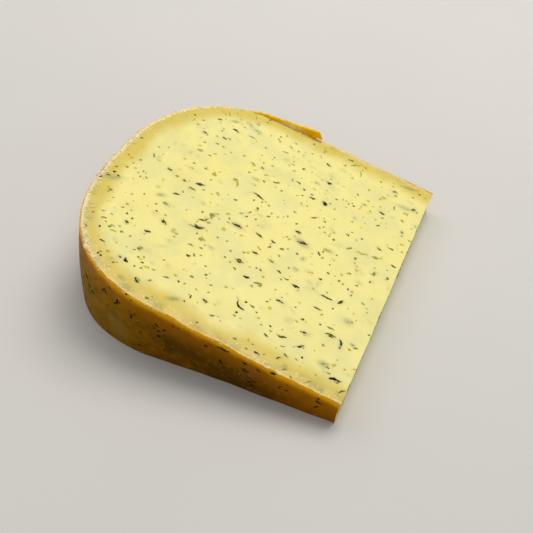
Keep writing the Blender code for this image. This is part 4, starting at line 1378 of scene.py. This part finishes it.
    def _rind_flakes(self, draw: random.Random) -> None:
        """The herbs that show through the rind's coat.

        Args:
            draw: The seeded generator.
        """
        runs, radii, _ = CUT.outline()
        rind = self.flakes[Skin.RIND]
        sights = RindSights()
        for index, sighting in enumerate(RIND_SIGHTINGS):
            form = (FlakeForm.LENS, FlakeForm.WEDGE, FlakeForm.STRIP)[index % 3]
            run, rise, length, width, turn = sights.measure(sighting)
            edge = CUT.wedge_angle * float(np.interp(run, runs, radii))
            rise = min(rise, edge - abs(length / 2 * math.sin(turn)) - width * self.rind_clearance)
            rind.append(Flake(run, rise, length, width, turn, 0.1, form, HerbKind.RIND, 0.10))
        for _ in range(self.rind_count):
            run = draw.uniform(0.01, 0.99) * float(runs[-1])
            rise = draw.uniform(0.05, 0.93) * CUT.wedge_angle * float(np.interp(run, runs, radii))
            length = draw.uniform(0.5, 2.2) * MM
            width = length * draw.uniform(0.3, 0.6)
            form = draw.choice(list(FlakeForm))
            turn = draw.gauss(0, 1.0)
            rind.append(Flake(
                run, rise, length, width, turn, draw.uniform(-0.2, 0.2), form, HerbKind.RIND,
                draw.uniform(0.25, 0.8),
            ))


@dataclass
class HerbPieces:
    """The herbs as thin leaf flakes, half sunk in the cheese, one piece for each kind."""

    scatter: HerbScatter
    proud: dict[Skin, float] = field(default_factory=lambda: {
        Skin.UPPER: 0.13 * MM, Skin.UNDER: 0.01 * MM, Skin.TIP: 0.04 * MM, Skin.RIND: 0.14 * MM,
    })
    root: float = 0.30 * MM
    rim_sink: float = 0.02 * MM
    large_from: float = 1.7 * MM
    strand_width: float = 0.78 * MM
    fine_cells: tuple[int, int] = (14, 4)
    coarse_cells: tuple[int, int] = (6, 2)
    seed: int = 19

    def build(self) -> None:
        """Make the piece of each kind of herb."""
        finishes = {
            HerbKind.DARK: DARK_HERB, HerbKind.OLIVE: OLIVE_HERB, HerbKind.MUSTARD: MUSTARD_HERB,
            HerbKind.BROWN: BROWN_HERB, HerbKind.RIND: RIND_HERB,
        }
        fine, coarse = shape_blank(*self.fine_cells), shape_blank(*self.coarse_cells)
        draw = random.Random(self.seed)
        for kind, finish in finishes.items():
            shapes = JoinedShapes()
            for face, flakes in self.scatter.flakes.items():
                for flake in (f for f in flakes if f.kind is kind):
                    for strand in self._strands(flake, draw):
                        blank, faces = fine if strand.length > self.large_from else coarse
                        points, sunk = self._shaped(blank, strand, face, draw)
                        shapes.add(points, faces, draw.random(), sunk)
            shapes.to_object(kind.value, finish.material(), "herbs")

    def _strands(self, flake: Flake, draw: random.Random) -> list[Flake]:
        """Split a wide flake into the thin torn strands that it is made of.

        Args:
            flake: The flake as a whole.
            draw: The seeded generator.

        Returns:
            One to three flakes.
        """
        count = 1 + (flake.width > 1.05 * self.strand_width) + (flake.width > 1.9 * self.strand_width)
        if count == 1:
            return [flake]
        strands = []
        for index in range(count):
            aside = ((index + 0.5) / count - 0.5) * flake.width * 0.7
            length = flake.length * (1.0 if index == 1 else draw.uniform(0.45, 0.8))
            ahead = (flake.length - length) * draw.uniform(-0.5, 0.5)
            width = flake.width / count * draw.uniform(0.9, 1.5)
            forward, sideways = rotated(ahead, aside, flake.turn)
            strands.append(replace(
                flake,
                along=flake.along - forward, across=flake.across + sideways,
                length=length, width=width,
                turn=flake.turn + draw.gauss(0, 0.22),
                bend=flake.bend + draw.gauss(0, 0.08),
                form=draw.choice((FlakeForm.LENS, FlakeForm.STRIP, FlakeForm.WEDGE)),
                veil=flake.veil * draw.uniform(0.8, 1.6),
            ))
        return strands

    def _shaped(
        self, blank: np.ndarray, flake: Flake, face: Skin, draw: random.Random
    ) -> tuple[np.ndarray, np.ndarray]:
        """Bend the blank to one flake and lay it in its face.

        Args:
            blank: The slab's points.
            flake: What the flake measures.
            face: The face that it lies in.
            draw: The seeded generator.

        Returns:
            The flake's points in the world, and how far each is veiled by paste.
        """
        share, side, upper = blank[:, 0], blank[:, 1] * 2, blank[:, 2] > -0.5
        reach = np.abs(2 * share)
        phases = [draw.uniform(0, 2 * math.pi) for _ in range(4)]
        ragged = 1 + 0.26 * np.sin(8 * share + phases[0] + 2 * np.sign(side))
        ragged += 0.20 * np.sin(21 * share + phases[1] + 3 * np.sign(side))
        x = flake.length * (share + 0.03 * np.sin(5 * side + phases[2]) * (1 - reach * 0.5))
        y = flake.width / 2 * side * self._outline(flake.form, share, reach) * ragged
        y = y + flake.length * (flake.bend * (0.5 - 2 * share**2) + 0.03 * np.sin(7 * share + phases[3]))
        crown = np.sqrt(np.clip(1 - (0.9 * reach) ** 2, 0, 1)) * (1 - 0.55 * side**2)
        size = min(1.0, 0.35 + flake.length / (2.5 * MM)) * draw.uniform(0.75, 1.1)
        crinkle = 1 + 0.25 * np.sin(14 * share + 4 * side + phases[3])
        lift = np.where(upper, self.proud[face] * size * crown * crinkle - self.rim_sink, -self.root)
        if face is Skin.UNDER:
            lift = np.minimum(lift, self.proud[face])
        slope = 2 * share * draw.choice((-1, 1))
        uneven = 0.80 * max(0.0, min(flake.veil, 0.8 - flake.veil))
        sunk = 0.62 * flake.veil + uneven * slope + 0.16 * side**2 + 0.10 * reach**2
        forward, sideways = self._turned(x, y, flake.turn, face)
        return CUT.on_face(face, flake.along + forward, flake.across + sideways, lift), sunk

    @staticmethod
    def _turned(x: np.ndarray, y: np.ndarray, turn: float, face: Skin) -> tuple[np.ndarray, np.ndarray]:
        """A flake's own coordinates turned into its face's two.

        Args:
            x: Places along the flake.
            y: Places across it.
            turn: How far it is turned in its face.
            face: The face that it lies in.

        Returns:
            Offsets along the face's first and second coordinate.
        """
        ahead, aside = rotated(x, y, turn)
        if face is Skin.TIP:
            return ahead, -aside
        if face is Skin.RIND:
            return ahead, aside
        return -ahead, aside

    @staticmethod
    def _outline(form: FlakeForm, share: np.ndarray, reach: np.ndarray) -> np.ndarray:
        """Half the flake's width along its length, at most about 1.

        Args:
            form: The flake's form.
            share: Places along it, from -0.5 to 0.5.
            reach: How far each lies from its middle, from 0 to 1.

        Returns:
            The half width at each place.
        """
        if form is FlakeForm.STRIP:
            return 0.25 + 0.75 * np.sqrt(np.clip(1 - reach**6, 0, 1))
        if form is FlakeForm.WEDGE:
            return 0.12 + 1.05 * (share + 0.5) * np.sqrt(np.clip(1.02 - reach**5, 0, 1))
        if form is FlakeForm.CHUNK:
            return 0.35 + 0.65 * np.sqrt(np.clip(1 - reach**3, 0, 1))
        return 0.06 + 0.94 * np.clip(1 - reach**2.0, 0, 1) ** 0.7


@dataclass
class WedgeBody:
    """The wedge itself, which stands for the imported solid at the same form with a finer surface."""

    scatter: HerbScatter
    cells_to_rim: int = 168
    cells_across: int = 176
    cells_in_angle: int = 42
    crowding: float = 0.5
    rim_share: float = 0.42
    rind_reach: float = 0.006
    tip_reach: float = 0.004
    crumble_width: float = 0.0042
    crumble_depth: float = 0.00022
    pore_depth: float = 0.00006
    pore_span: float = 0.0016
    rind_grain: float = 0.00005
    rind_grain_span: float = 0.0021
    ragged_edge: float = 0.00022
    edge_roll: float = 0.0012
    golden_from_to: Band = (0.048, 0.076)
    smooth_up_to: float = math.radians(48)

    def build(self) -> None:
        """Make the wedge and let it stand for the solid."""
        piece = self._spun_section()
        mesh = piece.data
        even = coordinates(mesh)
        radius = np.hypot(even[:, 0] - CUT.axis_x, even[:, 2])
        angle = np.arctan2(even[:, 2], CUT.axis_x - even[:, 0])
        across = even[:, 1].copy()
        self._measure(radius, across, angle)
        self._dress(mesh)
        set_coordinates(mesh, self._with_relief(even))
        self._paint(mesh)
        select_only(piece)
        bpy.ops.object.shade_smooth_by_angle(angle=self.smooth_up_to)
        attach(piece, "root")
        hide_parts("cheese_wedge")
        LOG.info("%s: %d faces", piece.name, len(mesh.polygons))

    def _spun_section(self) -> bpy.types.Object:
        """The wheel's section as a grid, spun about the wheel's axis by the wedge's angle."""
        piece, outward, across = grid_piece("wedge_body", (self.cells_to_rim, self.cells_across))
        outward = outward + self.crowding * np.sin(math.pi * outward) / math.pi
        across = across - self.crowding * np.sin(2 * math.pi * across) / (2 * math.pi)
        radius, height = self._section(outward, across)
        set_coordinates(piece.data, rows(CUT.axis_x - radius, height, 0.0))
        bpy.ops.object.mode_set(mode="EDIT")
        bpy.ops.mesh.select_all(action="SELECT")
        bpy.ops.mesh.spin(
            steps=self.cells_in_angle, angle=CUT.wedge_angle, center=(CUT.axis_x, 0, 0), axis=(0, -1, 0))
        bpy.ops.mesh.select_all(action="SELECT")
        bpy.ops.mesh.remove_doubles(threshold=TINY)
        bpy.ops.mesh.normals_make_consistent(inside=False)
        bpy.ops.object.mode_set(mode="OBJECT")
        return piece

    def _section(self, outward: np.ndarray, across: np.ndarray) -> tuple[np.ndarray, np.ndarray]:
        """Blend the section's four borders into its inside.

        Args:
            outward: Share of the way from the tip to the rim.
            across: Share of the way from front to back.

        Returns:
            Radius and place across.
        """
        runs, radii, acrosses = CUT.outline()
        corner = runs[-1] * (1 - self.rim_share) / 2
        borders = []
        for values, tip in ((radii, (CUT.tip_radius,) * 2), (acrosses, (-CUT.half, CUT.half))):
            outline = partial(np.interp, xp=runs, fp=values)
            first, last = outline(corner), outline(runs[-1] - corner)
            sides = outline(corner * outward) * (1 - across) + outline(runs[-1] - corner * outward) * across
            at_tip = tip[0] * (1 - across) + tip[1] * across
            at_rim = outline(corner + (runs[-1] - 2 * corner) * across)
            ends = at_tip * (1 - outward) + at_rim * outward
            corners = at_tip * (1 - outward) + (first * (1 - across) + last * across) * outward
            borders.append(sides + ends - corners)
        return borders[0], borders[1]

    def _measure(self, radius: np.ndarray, across: np.ndarray, angle: np.ndarray) -> None:
        """Keep what relief, colours and finishes need to know of each vertex.

        Args:
            radius: Each vertex's distance from the wheel's axis.
            across: Its place along that axis.
            angle: Its angle above the lower cut.
        """
        self.radius, self.across, self.angle = radius, across, angle
        self.depth, self.radial, self.axial = CUT.rind_measure(radius, across)
        self.depth = np.maximum(self.depth, 0.0)
        self.on_top = angle > CUT.wedge_angle * 0.9999
        self.on_base = angle < TINY
        self.on_tip = radius < CUT.tip_radius + TINY
        runs, radii, acrosses = CUT.dense_outline()
        tree = kdtree.KDTree(len(runs))
        for index, point in enumerate(zip(radii, acrosses)):
            tree.insert((*point, 0.0), index)
        tree.balance()
        nearest = [tree.find((r, a, 0.0))[1] for r, a in zip(radius, across)]
        self.run = runs[np.array(nearest)]

    def _with_relief(self, even: np.ndarray) -> np.ndarray:
        """Move the vertices of the even wedge to its uneven rind and cut faces.

        Args:
            even: The even wedge's points.

        Returns:
            The uneven ones.
        """
        reach = np.maximum(0.0, 1 - self.depth / self.rind_reach)
        shift = CUT.rind_shift(even) * reach
        wall = self.depth < WALL_DEPTH
        grain = self.rind_grain * waves(even, self.rind_grain_span)
        top_gap = (CUT.wedge_angle - self.angle) * self.radius
        ragged = self.ragged_edge * waves(rows(self.run, 0.0, 0.4), 0.9 * MM)
        ragged = ragged * fade(top_gap, 0.0, self.edge_roll)
        shift = shift + np.where(wall & ~self.on_base, grain + ragged, 0.0)
        shift = shift - 0.25 * MM * fade(top_gap, 0.0, 0.8 * MM) * fade(self.depth, 0.0, 0.6 * MM)
        near_tip = np.maximum(0.0, 1 - (self.radius - CUT.tip_radius) / self.tip_reach)
        tip_shift = near_tip * CUT.tip_shift(self.radius * self.angle, self.across)
        pores = self.pore_depth * waves(even, self.pore_span)
        tip_shift = tip_shift + np.where(self.on_tip & ~self.on_base, pores, 0.0)
        height = np.where(self.on_top, CUT.face_height(self.radius, self.across) + self._crumble(pores), 0.0)
        radial = self.radial * shift - tip_shift
        moved = even + rows(-np.cos(self.angle), 0.0, np.sin(self.angle)) * radial[:, None]
        moved[:, 1] += self.axial * shift
        return moved + rows(np.sin(self.angle), 0.0, np.cos(self.angle)) * height[:, None]

    def _crumble(self, pores: np.ndarray) -> np.ndarray:
        """Height of the crumbly band along the rind and of the waxy paste's shallow pores.

        Args:
            pores: The pores' own height at each vertex.

        Returns:
            The height of both together.
        """
        streaks = waves(rows(self.run, self.depth * 0.35, 0.2), 0.9 * MM)
        lumps = waves(rows(self.radius, self.across, 0.9), 1.3 * MM)
        band = fade(self.depth, 0.6 * MM, self.crumble_width) * (0.3 + 0.7 * fade(-self.across, 0.042, 0.048))
        return self.crumble_depth * band * (0.6 * streaks + 0.7 * lumps) + pores

    def _paint(self, mesh: bpy.types.Mesh) -> None:
        """Store what the finishes read.

        Args:
            mesh: The wedge's mesh.
        """
        height = self.angle * self.radius
        inner = ~self.on_top & ~self.on_base
        parts = (
            (Skin.UPPER, self.on_top, self.radius, self.across),
            (Skin.TIP, inner & self.on_tip, self.angle * CUT.tip_radius, self.across),
            (Skin.RIND, inner & ~self.on_tip & (self.depth < WALL_DEPTH), self.run, height),
        )
        shade = shade_of(self.radius, self.across, self.scatter.blotches[Skin.UNDER])
        for face, belongs, along, across in parts:
            shade = np.where(belongs, shade_of(along, across, self.scatter.blotches[face]), shade)
        sights = RindSights()
        paint(mesh, "herb_shade", shade)
        paint(mesh, "rind_depth", self.depth)
        paint(mesh, "edge_run", self.run)
        paint(mesh, "edge_gap", CUT.wedge_angle * self.radius - height)
        paint(mesh, "golden", 1 - fade(self.run, *self.golden_from_to))
        paint(mesh, "worn", shade_of(self.run, height, [sights.patch(WORN_PATCH)]))
        paint(mesh, "scratched", shade_of(self.run, height, [sights.patch(SCRATCHED_PATCH)]))

    def _dress(self, mesh: bpy.types.Mesh) -> None:
        """Give the cut faces the paste and the wall the rind.

        Args:
            mesh: The wedge's mesh.
        """
        mesh.materials.append(PasteFinish().material())
        mesh.materials.append(RindFinish().material())
        at_rind = self.depth < WALL_DEPTH
        kinds = []
        for polygon in mesh.polygons:
            corners = list(polygon.vertices)
            flat = self.on_top[corners].all() or self.on_base[corners].all() or self.on_tip[corners].all()
            kinds.append(0 if flat or not at_rind[corners].all() else 1)
        mesh.polygons.foreach_set("material_index", kinds)


@dataclass
class RindLip:
    """The torn strip of rind along the far edge, at the solid's own sizes with a finer surface."""

    rim_end: float = 0.1100
    tip_end: float = 0.0812
    low: float = 0.0002
    high: float = 0.0024
    growth: float = 1.65
    root: float = 0.0012
    thickness: float = 0.0013
    lean: float = 0.0005
    proud: float = 0.00015
    gap: float = 0.0004
    gap_length: float = 0.0040
    slant: float = 0.0018
    start_drop: float = 0.0007
    start_share: float = 0.16
    cells: tuple[int, int] = (96, 14)
    crinkle: float = 0.00012
    pale_share: float = 0.60
    pale_width: float = 0.13

    def build(self) -> None:
        """Make the lip."""
        piece, along, rise = grid_piece("rind_lip", self.cells)
        set_coordinates(piece.data, self._shaped(along, rise))
        paint(piece.data, "paleness", self._paleness(along, rise))
        piece.data.materials.append(LipFinish().material())
        self._thicken(piece)
        points = coordinates(piece.data)
        points[:, 1] += self.crinkle * waves(points, 1.6 * MM)
        points[:, 2] += 0.5 * self.crinkle * waves(points[:, ::-1], 1.1 * MM)
        set_coordinates(piece.data, points)
        recalculate_normals(piece)
        piece.data.shade_smooth()
        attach(piece, "root")
        LOG.info("rind_lip: %d faces", len(piece.data.polygons))

    def _shaped(self, along: np.ndarray, rise: np.ndarray) -> np.ndarray:
        """The lip's middle sheet, from its root to its torn upper edge.

        Args:
            along: Each point's share of the way from the rim's end to the tip's.
            rise: Its share of the way from the root to the torn edge.

        Returns:
            The points in the world.
        """
        length = self.rim_end - self.tip_end
        from_tip_end = (1 - along) * length
        top = self.low + (self.high - self.low) * along**self.growth
        top = top + 0.12 * self.high * along * waves(rows(along, 0.2, 0.4), 0.12)
        top = top + 0.10 * self.high * waves(rows(along, 0.6, 0.1), 0.035) * (along > 0.02)
        top = top - self.start_drop * fade(along, 0.0, self.start_share)
        loose = np.maximum(0.0, 1 - from_tip_end / self.gap_length)
        foot = -self.root + (self.root + self.gap) * np.minimum(1.0, 1.6 * loose)
        height = foot + (top - foot) * rise
        radius = self.rim_end - length * along + self.slant * rise * along
        across = CUT.half_width_at(radius) + self.proud + self.lean * np.maximum(0.0, height) / self.high
        angle = CUT.wedge_angle
        return CUT.place(radius, across, angle) + rows(math.sin(angle), 0, math.cos(angle)) * height[:, None]

    def _paleness(self, along: np.ndarray, rise: np.ndarray) -> np.ndarray:
        """Where the torn rind is whitish: about its middle, and where it starts."""
        middle = np.exp(-(((along - self.pale_share) / self.pale_width) ** 2) - ((rise - 0.62) / 0.30) ** 2)
        return np.maximum(1.2 * middle, 0.7 * fade(along, 0.06, 0.24))

    def _thicken(self, piece: bpy.types.Object) -> None:
        """Give the sheet its thickness, towards the cheese.

        Args:
            piece: The sheet.
        """
        facing = sum((polygon.normal for polygon in piece.data.polygons), Vector()).y
        select_only(piece)
        thicken = piece.modifiers.new("Thickness", "SOLIDIFY")
        thicken.thickness = self.thickness
        thicken.offset = 1.0 if facing < 0 else -1.0
        thicken.use_even_offset = False
        bpy.ops.object.modifier_apply(modifier=thicken.name)


@dataclass
class EdgeCrumbs:
    """Crumbs, white grains and hair-like shreds that the knife left along the rim of the upper face."""

    cad_seed: int = 17
    cad_count: int = 42
    cad_radii: tuple[float, float] = (0.00032, 0.00090)
    cad_inset: float = 0.0007
    cad_spacing: float = 0.0019
    cad_run: tuple[float, float] = (-0.0470, 0.0450)
    cad_heaps: tuple[float, ...] = (-0.0385, -0.0290, -0.0125, 0.0060, 0.0360, 0.0420)
    heap_spread: float = 0.0022
    heap_sizes: tuple[float, ...] = (0.55, 0.42, 0.34, 0.28, 0.24, 0.20)
    root: float = -0.00012
    seed: int = 29
    small_count: int = 620
    small_radii: tuple[float, float] = (0.00007, 0.00022)
    small_reach: float = 0.0026
    front_reach: float = 0.0008
    side_share: float = 0.35
    shred_count: int = 20
    seen_width: float = 0.6
    shred_lengths: tuple[float, float] = (0.0008, 0.0022)
    shred_width: float = 0.00014
    streak_rise: float = 0.00012
    tuft_every: float = 0.00030
    tuft_radii: tuple[float, float] = (0.00006, 0.00016)

    def build(self) -> None:
        """Make the crumbs and the white tufts."""
        draw = random.Random(self.seed)
        crumbs = JoinedShapes()
        large, small = round_blank(2), round_blank(1)
        for radius, across, size in self._cad_places():
            for share in self.heap_sizes:
                aside, ahead = draw.gauss(0, 0.45 * size), draw.gauss(0, 0.45 * size)
                place = self._on_edge(radius + ahead, across + aside)
                self._add_crumb(crumbs, large, *place, size * share * draw.uniform(0.8, 1.2), draw)
        for _ in range(self.small_count):
            radius, across = self._edge_spot(draw, self.small_reach)
            self._add_crumb(crumbs, small, radius, across, draw.uniform(*self.small_radii), draw)
        ribbon = shape_blank(6, 1)
        for _ in range(self.shred_count):
            self._add_shred(crumbs, ribbon, *self._edge_spot(draw, self.front_reach), draw)
        crumbs.to_object("edge_crumbs", CRUMB.material(), "paste")
        self._bloom(draw, small, ribbon).to_object("white_bloom", BLOOM.material(), "bloom")

    def _cad_places(self) -> list[tuple[float, float, float]]:
        """The solid's own crumbs, by the same rule and draws, as radius, place across and size."""
        draw = random.Random(self.cad_seed)
        places: list[tuple[float, float, float]] = []
        while len(places) < self.cad_count:
            heaped = len(places) % 2 == 0
            heap = self.cad_heaps[len(places) // 2 % len(self.cad_heaps)]
            across = draw.gauss(heap, self.heap_spread) if heaped else draw.uniform(*self.cad_run)
            inset = self.cad_inset * draw.uniform(0.4, 3.0)
            size = draw.uniform(*self.cad_radii)
            if not self.cad_run[0] < across < self.cad_run[1]:
                continue
            radius = float(CUT.rim_at(np.array(across)))
            _, radial, axial = CUT.at(radius, across)
            place = (radius - radial * inset, across - axial * inset, size)
            if all(math.dist(place[:2], other[:2]) > self.cad_spacing for other in places):
                places.append(place)
        return places

    def _edge_spot(self, draw: random.Random, reach: float) -> tuple[float, float]:
        """A random place near the rind, mostly close to it, and more often round the rim than on the sides.

        Args:
            draw: The seeded generator.
            reach: How far from the rind it may lie.

        Returns:
            Radius and place across.
        """
        runs, radii, acrosses = CUT.outline()
        while True:
            run = draw.uniform(0.02, 0.98) * runs[-1]
            across = float(np.interp(run, runs, acrosses))
            if draw.random() < (1.0 if abs(across) < 0.88 * CUT.half else self.side_share):
                break
        radius = float(np.interp(run, runs, radii))
        inset = min(reach, self.front_reach if across < -0.6 * CUT.half else reach) * draw.random() ** 1.8
        _, radial, axial = CUT.at(radius, across)
        return radius - radial * inset, across - axial * inset

    def _add_crumb(
        self, shapes: JoinedShapes, blank: Shape, radius: float, across: float, size: float,
        draw: random.Random,
    ) -> None:
        """Squeeze one crumb from the ball and set it on the upper face.

        Args:
            shapes: What it is added to.
            blank: The ball.
            radius: Its distance from the wheel's axis.
            across: Its place along that axis.
            size: Its radius before it is squeezed.
            draw: The seeded generator.
        """
        points, faces = blank
        phase = draw.uniform(0, 100)
        uneven = 1 + 0.55 * waves(points + phase, 0.7)
        shaped = points * uneven[:, None] * size * (1.0, draw.uniform(0.55, 1.0), draw.uniform(0.35, 0.6))
        x, y = rotated(shaped[:, 0], shaped[:, 1], draw.uniform(0, math.pi))
        angle = CUT.wedge_angle
        lift = float(CUT.face_height(np.array([radius]), np.array([across]))[0]) + self.root
        towards_tip = np.array((math.cos(angle), 0, -math.sin(angle)))
        outward = np.array((math.sin(angle), 0, math.cos(angle)))
        world = CUT.place(radius, across, angle)[0] + np.outer(x, towards_tip) + np.outer(y, (0, 1, 0))
        shapes.add(world + np.outer(shaped[:, 2] + lift, outward), faces, draw.random())

    def _add_shred(
        self, shapes: JoinedShapes, blank: Shape, radius: float, across: float, draw: random.Random
    ) -> None:
        """Curl one thin shred, lying across the edge.

        Args:
            shapes: What it is added to.
            blank: The ribbon.
            radius: Its middle's distance from the wheel's axis.
            across: Its middle's place along that axis.
            draw: The seeded generator.
        """
        points, faces = blank
        length = draw.uniform(*self.shred_lengths)
        share, side, depth = points[:, 0], points[:, 1], points[:, 2]
        taper = 1 - 0.7 * np.abs(2 * share) ** 2
        x = length * share
        y = self.shred_width * side * taper + length * draw.uniform(-0.25, 0.25) * (1 - 4 * share**2)
        lift = 0.06 * MM * (1 + depth) + draw.uniform(0.0, 0.25) * MM * (share + 0.5) ** 2
        _, radial, axial = CUT.at(radius, across)
        ahead, aside = rotated(x, y, math.atan2(axial, -radial) + draw.gauss(0, 0.5))
        shapes.add(CUT.on_face(Skin.UPPER, radius - ahead, across + aside, lift), faces, draw.random())

    def _bloom(self, draw: random.Random, ball: Shape, ribbon: Shape) -> JoinedShapes:
        """The white streaks and tufts that the photograph shows along the rim.

        Args:
            draw: The seeded generator.
            ball: The crumb's blank.
            ribbon: The shred's blank.

        Returns:
            The gathered tufts.
        """
        shapes = JoinedShapes()
        for sighting in WHITE_STREAKS:
            first, second = (self._on_edge(*VIEW.on_upper_face(*sighting[i:i + 2])) for i in (0, 2))
            width = sighting[4] * self.seen_width * MM
            self._add_streak(shapes, ribbon, first, second, width, draw)
            for _ in range(2 + round(math.dist(first, second) / self.tuft_every)):
                share, aside = draw.random(), draw.uniform(-0.9, 0.9) * width
                radius = first[0] + (second[0] - first[0]) * share + aside
                across = first[1] + (second[1] - first[1]) * share + aside
                place = self._on_edge(radius, across)
                self._add_crumb(shapes, ball, *place, draw.uniform(*self.tuft_radii), draw)
        return shapes

    @staticmethod
    def _on_edge(radius: float, across: float) -> tuple[float, float]:
        """The nearest place that still lies on the upper face.

        Args:
            radius: Distance from the wheel's axis.
            across: Place along that axis.

        Returns:
            Both, moved inwards where the place lies beyond the edge.
        """
        depth, radial, axial = CUT.at(radius, across)
        back = min(0.0, depth - 0.05 * MM)
        return radius + radial * back, across + axial * back

    def _add_streak(
        self, shapes: JoinedShapes, blank: Shape, first: tuple[float, float], second: tuple[float, float],
        width: float, draw: random.Random,
    ) -> None:
        """Lay one thin torn streak of paste on the upper face.

        Args:
            shapes: What it is added to.
            blank: The ribbon.
            first: Radius and place across where it starts.
            second: Radius and place across where it ends.
            width: Its width.
            draw: The seeded generator.
        """
        points, faces = blank
        share, side, depth = points[:, 0], points[:, 1], points[:, 2]
        ahead = np.subtract(second, first)
        aside = np.array((-ahead[1], ahead[0])) / max(np.hypot(*ahead), TINY)
        taper = (1 - 0.75 * np.abs(2 * share) ** 2.5) * (1 + 0.3 * np.sin(9 * share + draw.uniform(0, 6)))
        bow = math.hypot(*ahead) * draw.uniform(-0.12, 0.12) * (1 - 4 * share**2)
        middle = (np.array(first) + np.array(second)) / 2
        place = middle + np.outer(share, ahead) + np.outer(width * side * taper + bow, aside)
        lift = self.streak_rise * (1 + 2 * depth) * (1 - 0.8 * np.abs(2 * share) ** 2)
        shapes.add(CUT.on_face(Skin.UPPER, place[:, 0], place[:, 1], lift), faces, draw.random())


@dataclass(frozen=True)
class SoftLight:
    """One large soft lamp that points at the cheese."""

    name: str
    azimuth: float
    elevation: float
    distance: float
    size: float
    power: float
    colour: Colour = (255, 250, 242)

    def build(self) -> None:
        """Add the lamp."""
        data = bpy.data.lights.new(self.name, "AREA")
        data.shape = "SQUARE"
        data.size = self.size
        data.energy = self.power
        data.color = linear(self.colour)[:3]
        turn, rise = math.radians(self.azimuth), math.radians(self.elevation)
        away = Vector((math.sin(turn) * math.cos(rise), -math.cos(turn) * math.cos(rise), math.sin(rise)))
        lamp = bpy.data.objects.new(self.name, data)
        turned = (-away).to_track_quat("-Z", "Y").to_matrix().to_4x4()
        lamp.matrix_world = Matrix.Translation(away * self.distance) @ turned
        bpy.context.scene.collection.objects.link(lamp)


@dataclass(frozen=True)
class Studio:
    """The plain floor, the soft lamps and the camera."""

    floor_side: float = 2.4
    floor_gap: float = 0.00015
    floor_colour: Colour = (222, 220, 216)
    world_colour: Colour = (236, 240, 246)
    world_strength: float = 0.34
    lamps: tuple[SoftLight, ...] = (
        SoftLight("key_lamp", 165, 62, 0.9, 0.55, 5.0),
        SoftLight("left_lamp", -112, 48, 0.9, 0.60, 1.6),
        SoftLight("front_lamp", 30, 30, 1.1, 0.70, 0.9),
    )

    def build(self) -> None:
        """Set everything up round the cheese."""
        deselect_all()
        bpy.ops.mesh.primitive_plane_add(size=self.floor_side, location=(0, 0, 0))
        floor = bpy.context.object
        floor.name = "floor"
        points = coordinates(floor.data)
        points[:, 2] = -self.floor_gap
        set_coordinates(floor.data, points)
        bench = NodeBench.new("pale_floor")
        grain = bench.noise(bench.place(), 0.09, 3, 0.5)
        darker = tuple(value - 6 for value in self.floor_colour)
        bench.set(Base_Color=bench.mix(grain, self.floor_colour, darker))
        bench.set(Roughness=0.75, Specular_IOR_Level=0.25)
        floor.data.materials.append(bench.material)
        world = bpy.data.worlds.new("studio")
        world.use_nodes = True
        background = world.node_tree.nodes["Background"]
        background.inputs["Color"].default_value = linear(self.world_colour)
        background.inputs["Strength"].default_value = self.world_strength
        bpy.context.scene.world = world
        bpy.context.scene.view_settings.view_transform = "Standard"
        for lamp in self.lamps:
            lamp.build()
        VIEW.add_camera()


def main() -> None:
    """Build the cheese and its studio."""
    logging.basicConfig(level=logging.INFO, format="%(name)s: %(message)s")
    Studio().build()
    scatter = HerbScatter()
    scatter.plan()
    WedgeBody(scatter).build()
    HerbPieces(scatter).build()
    RindLip().build()
    EdgeCrumbs().build()


if __name__ == "__main__":
    main()
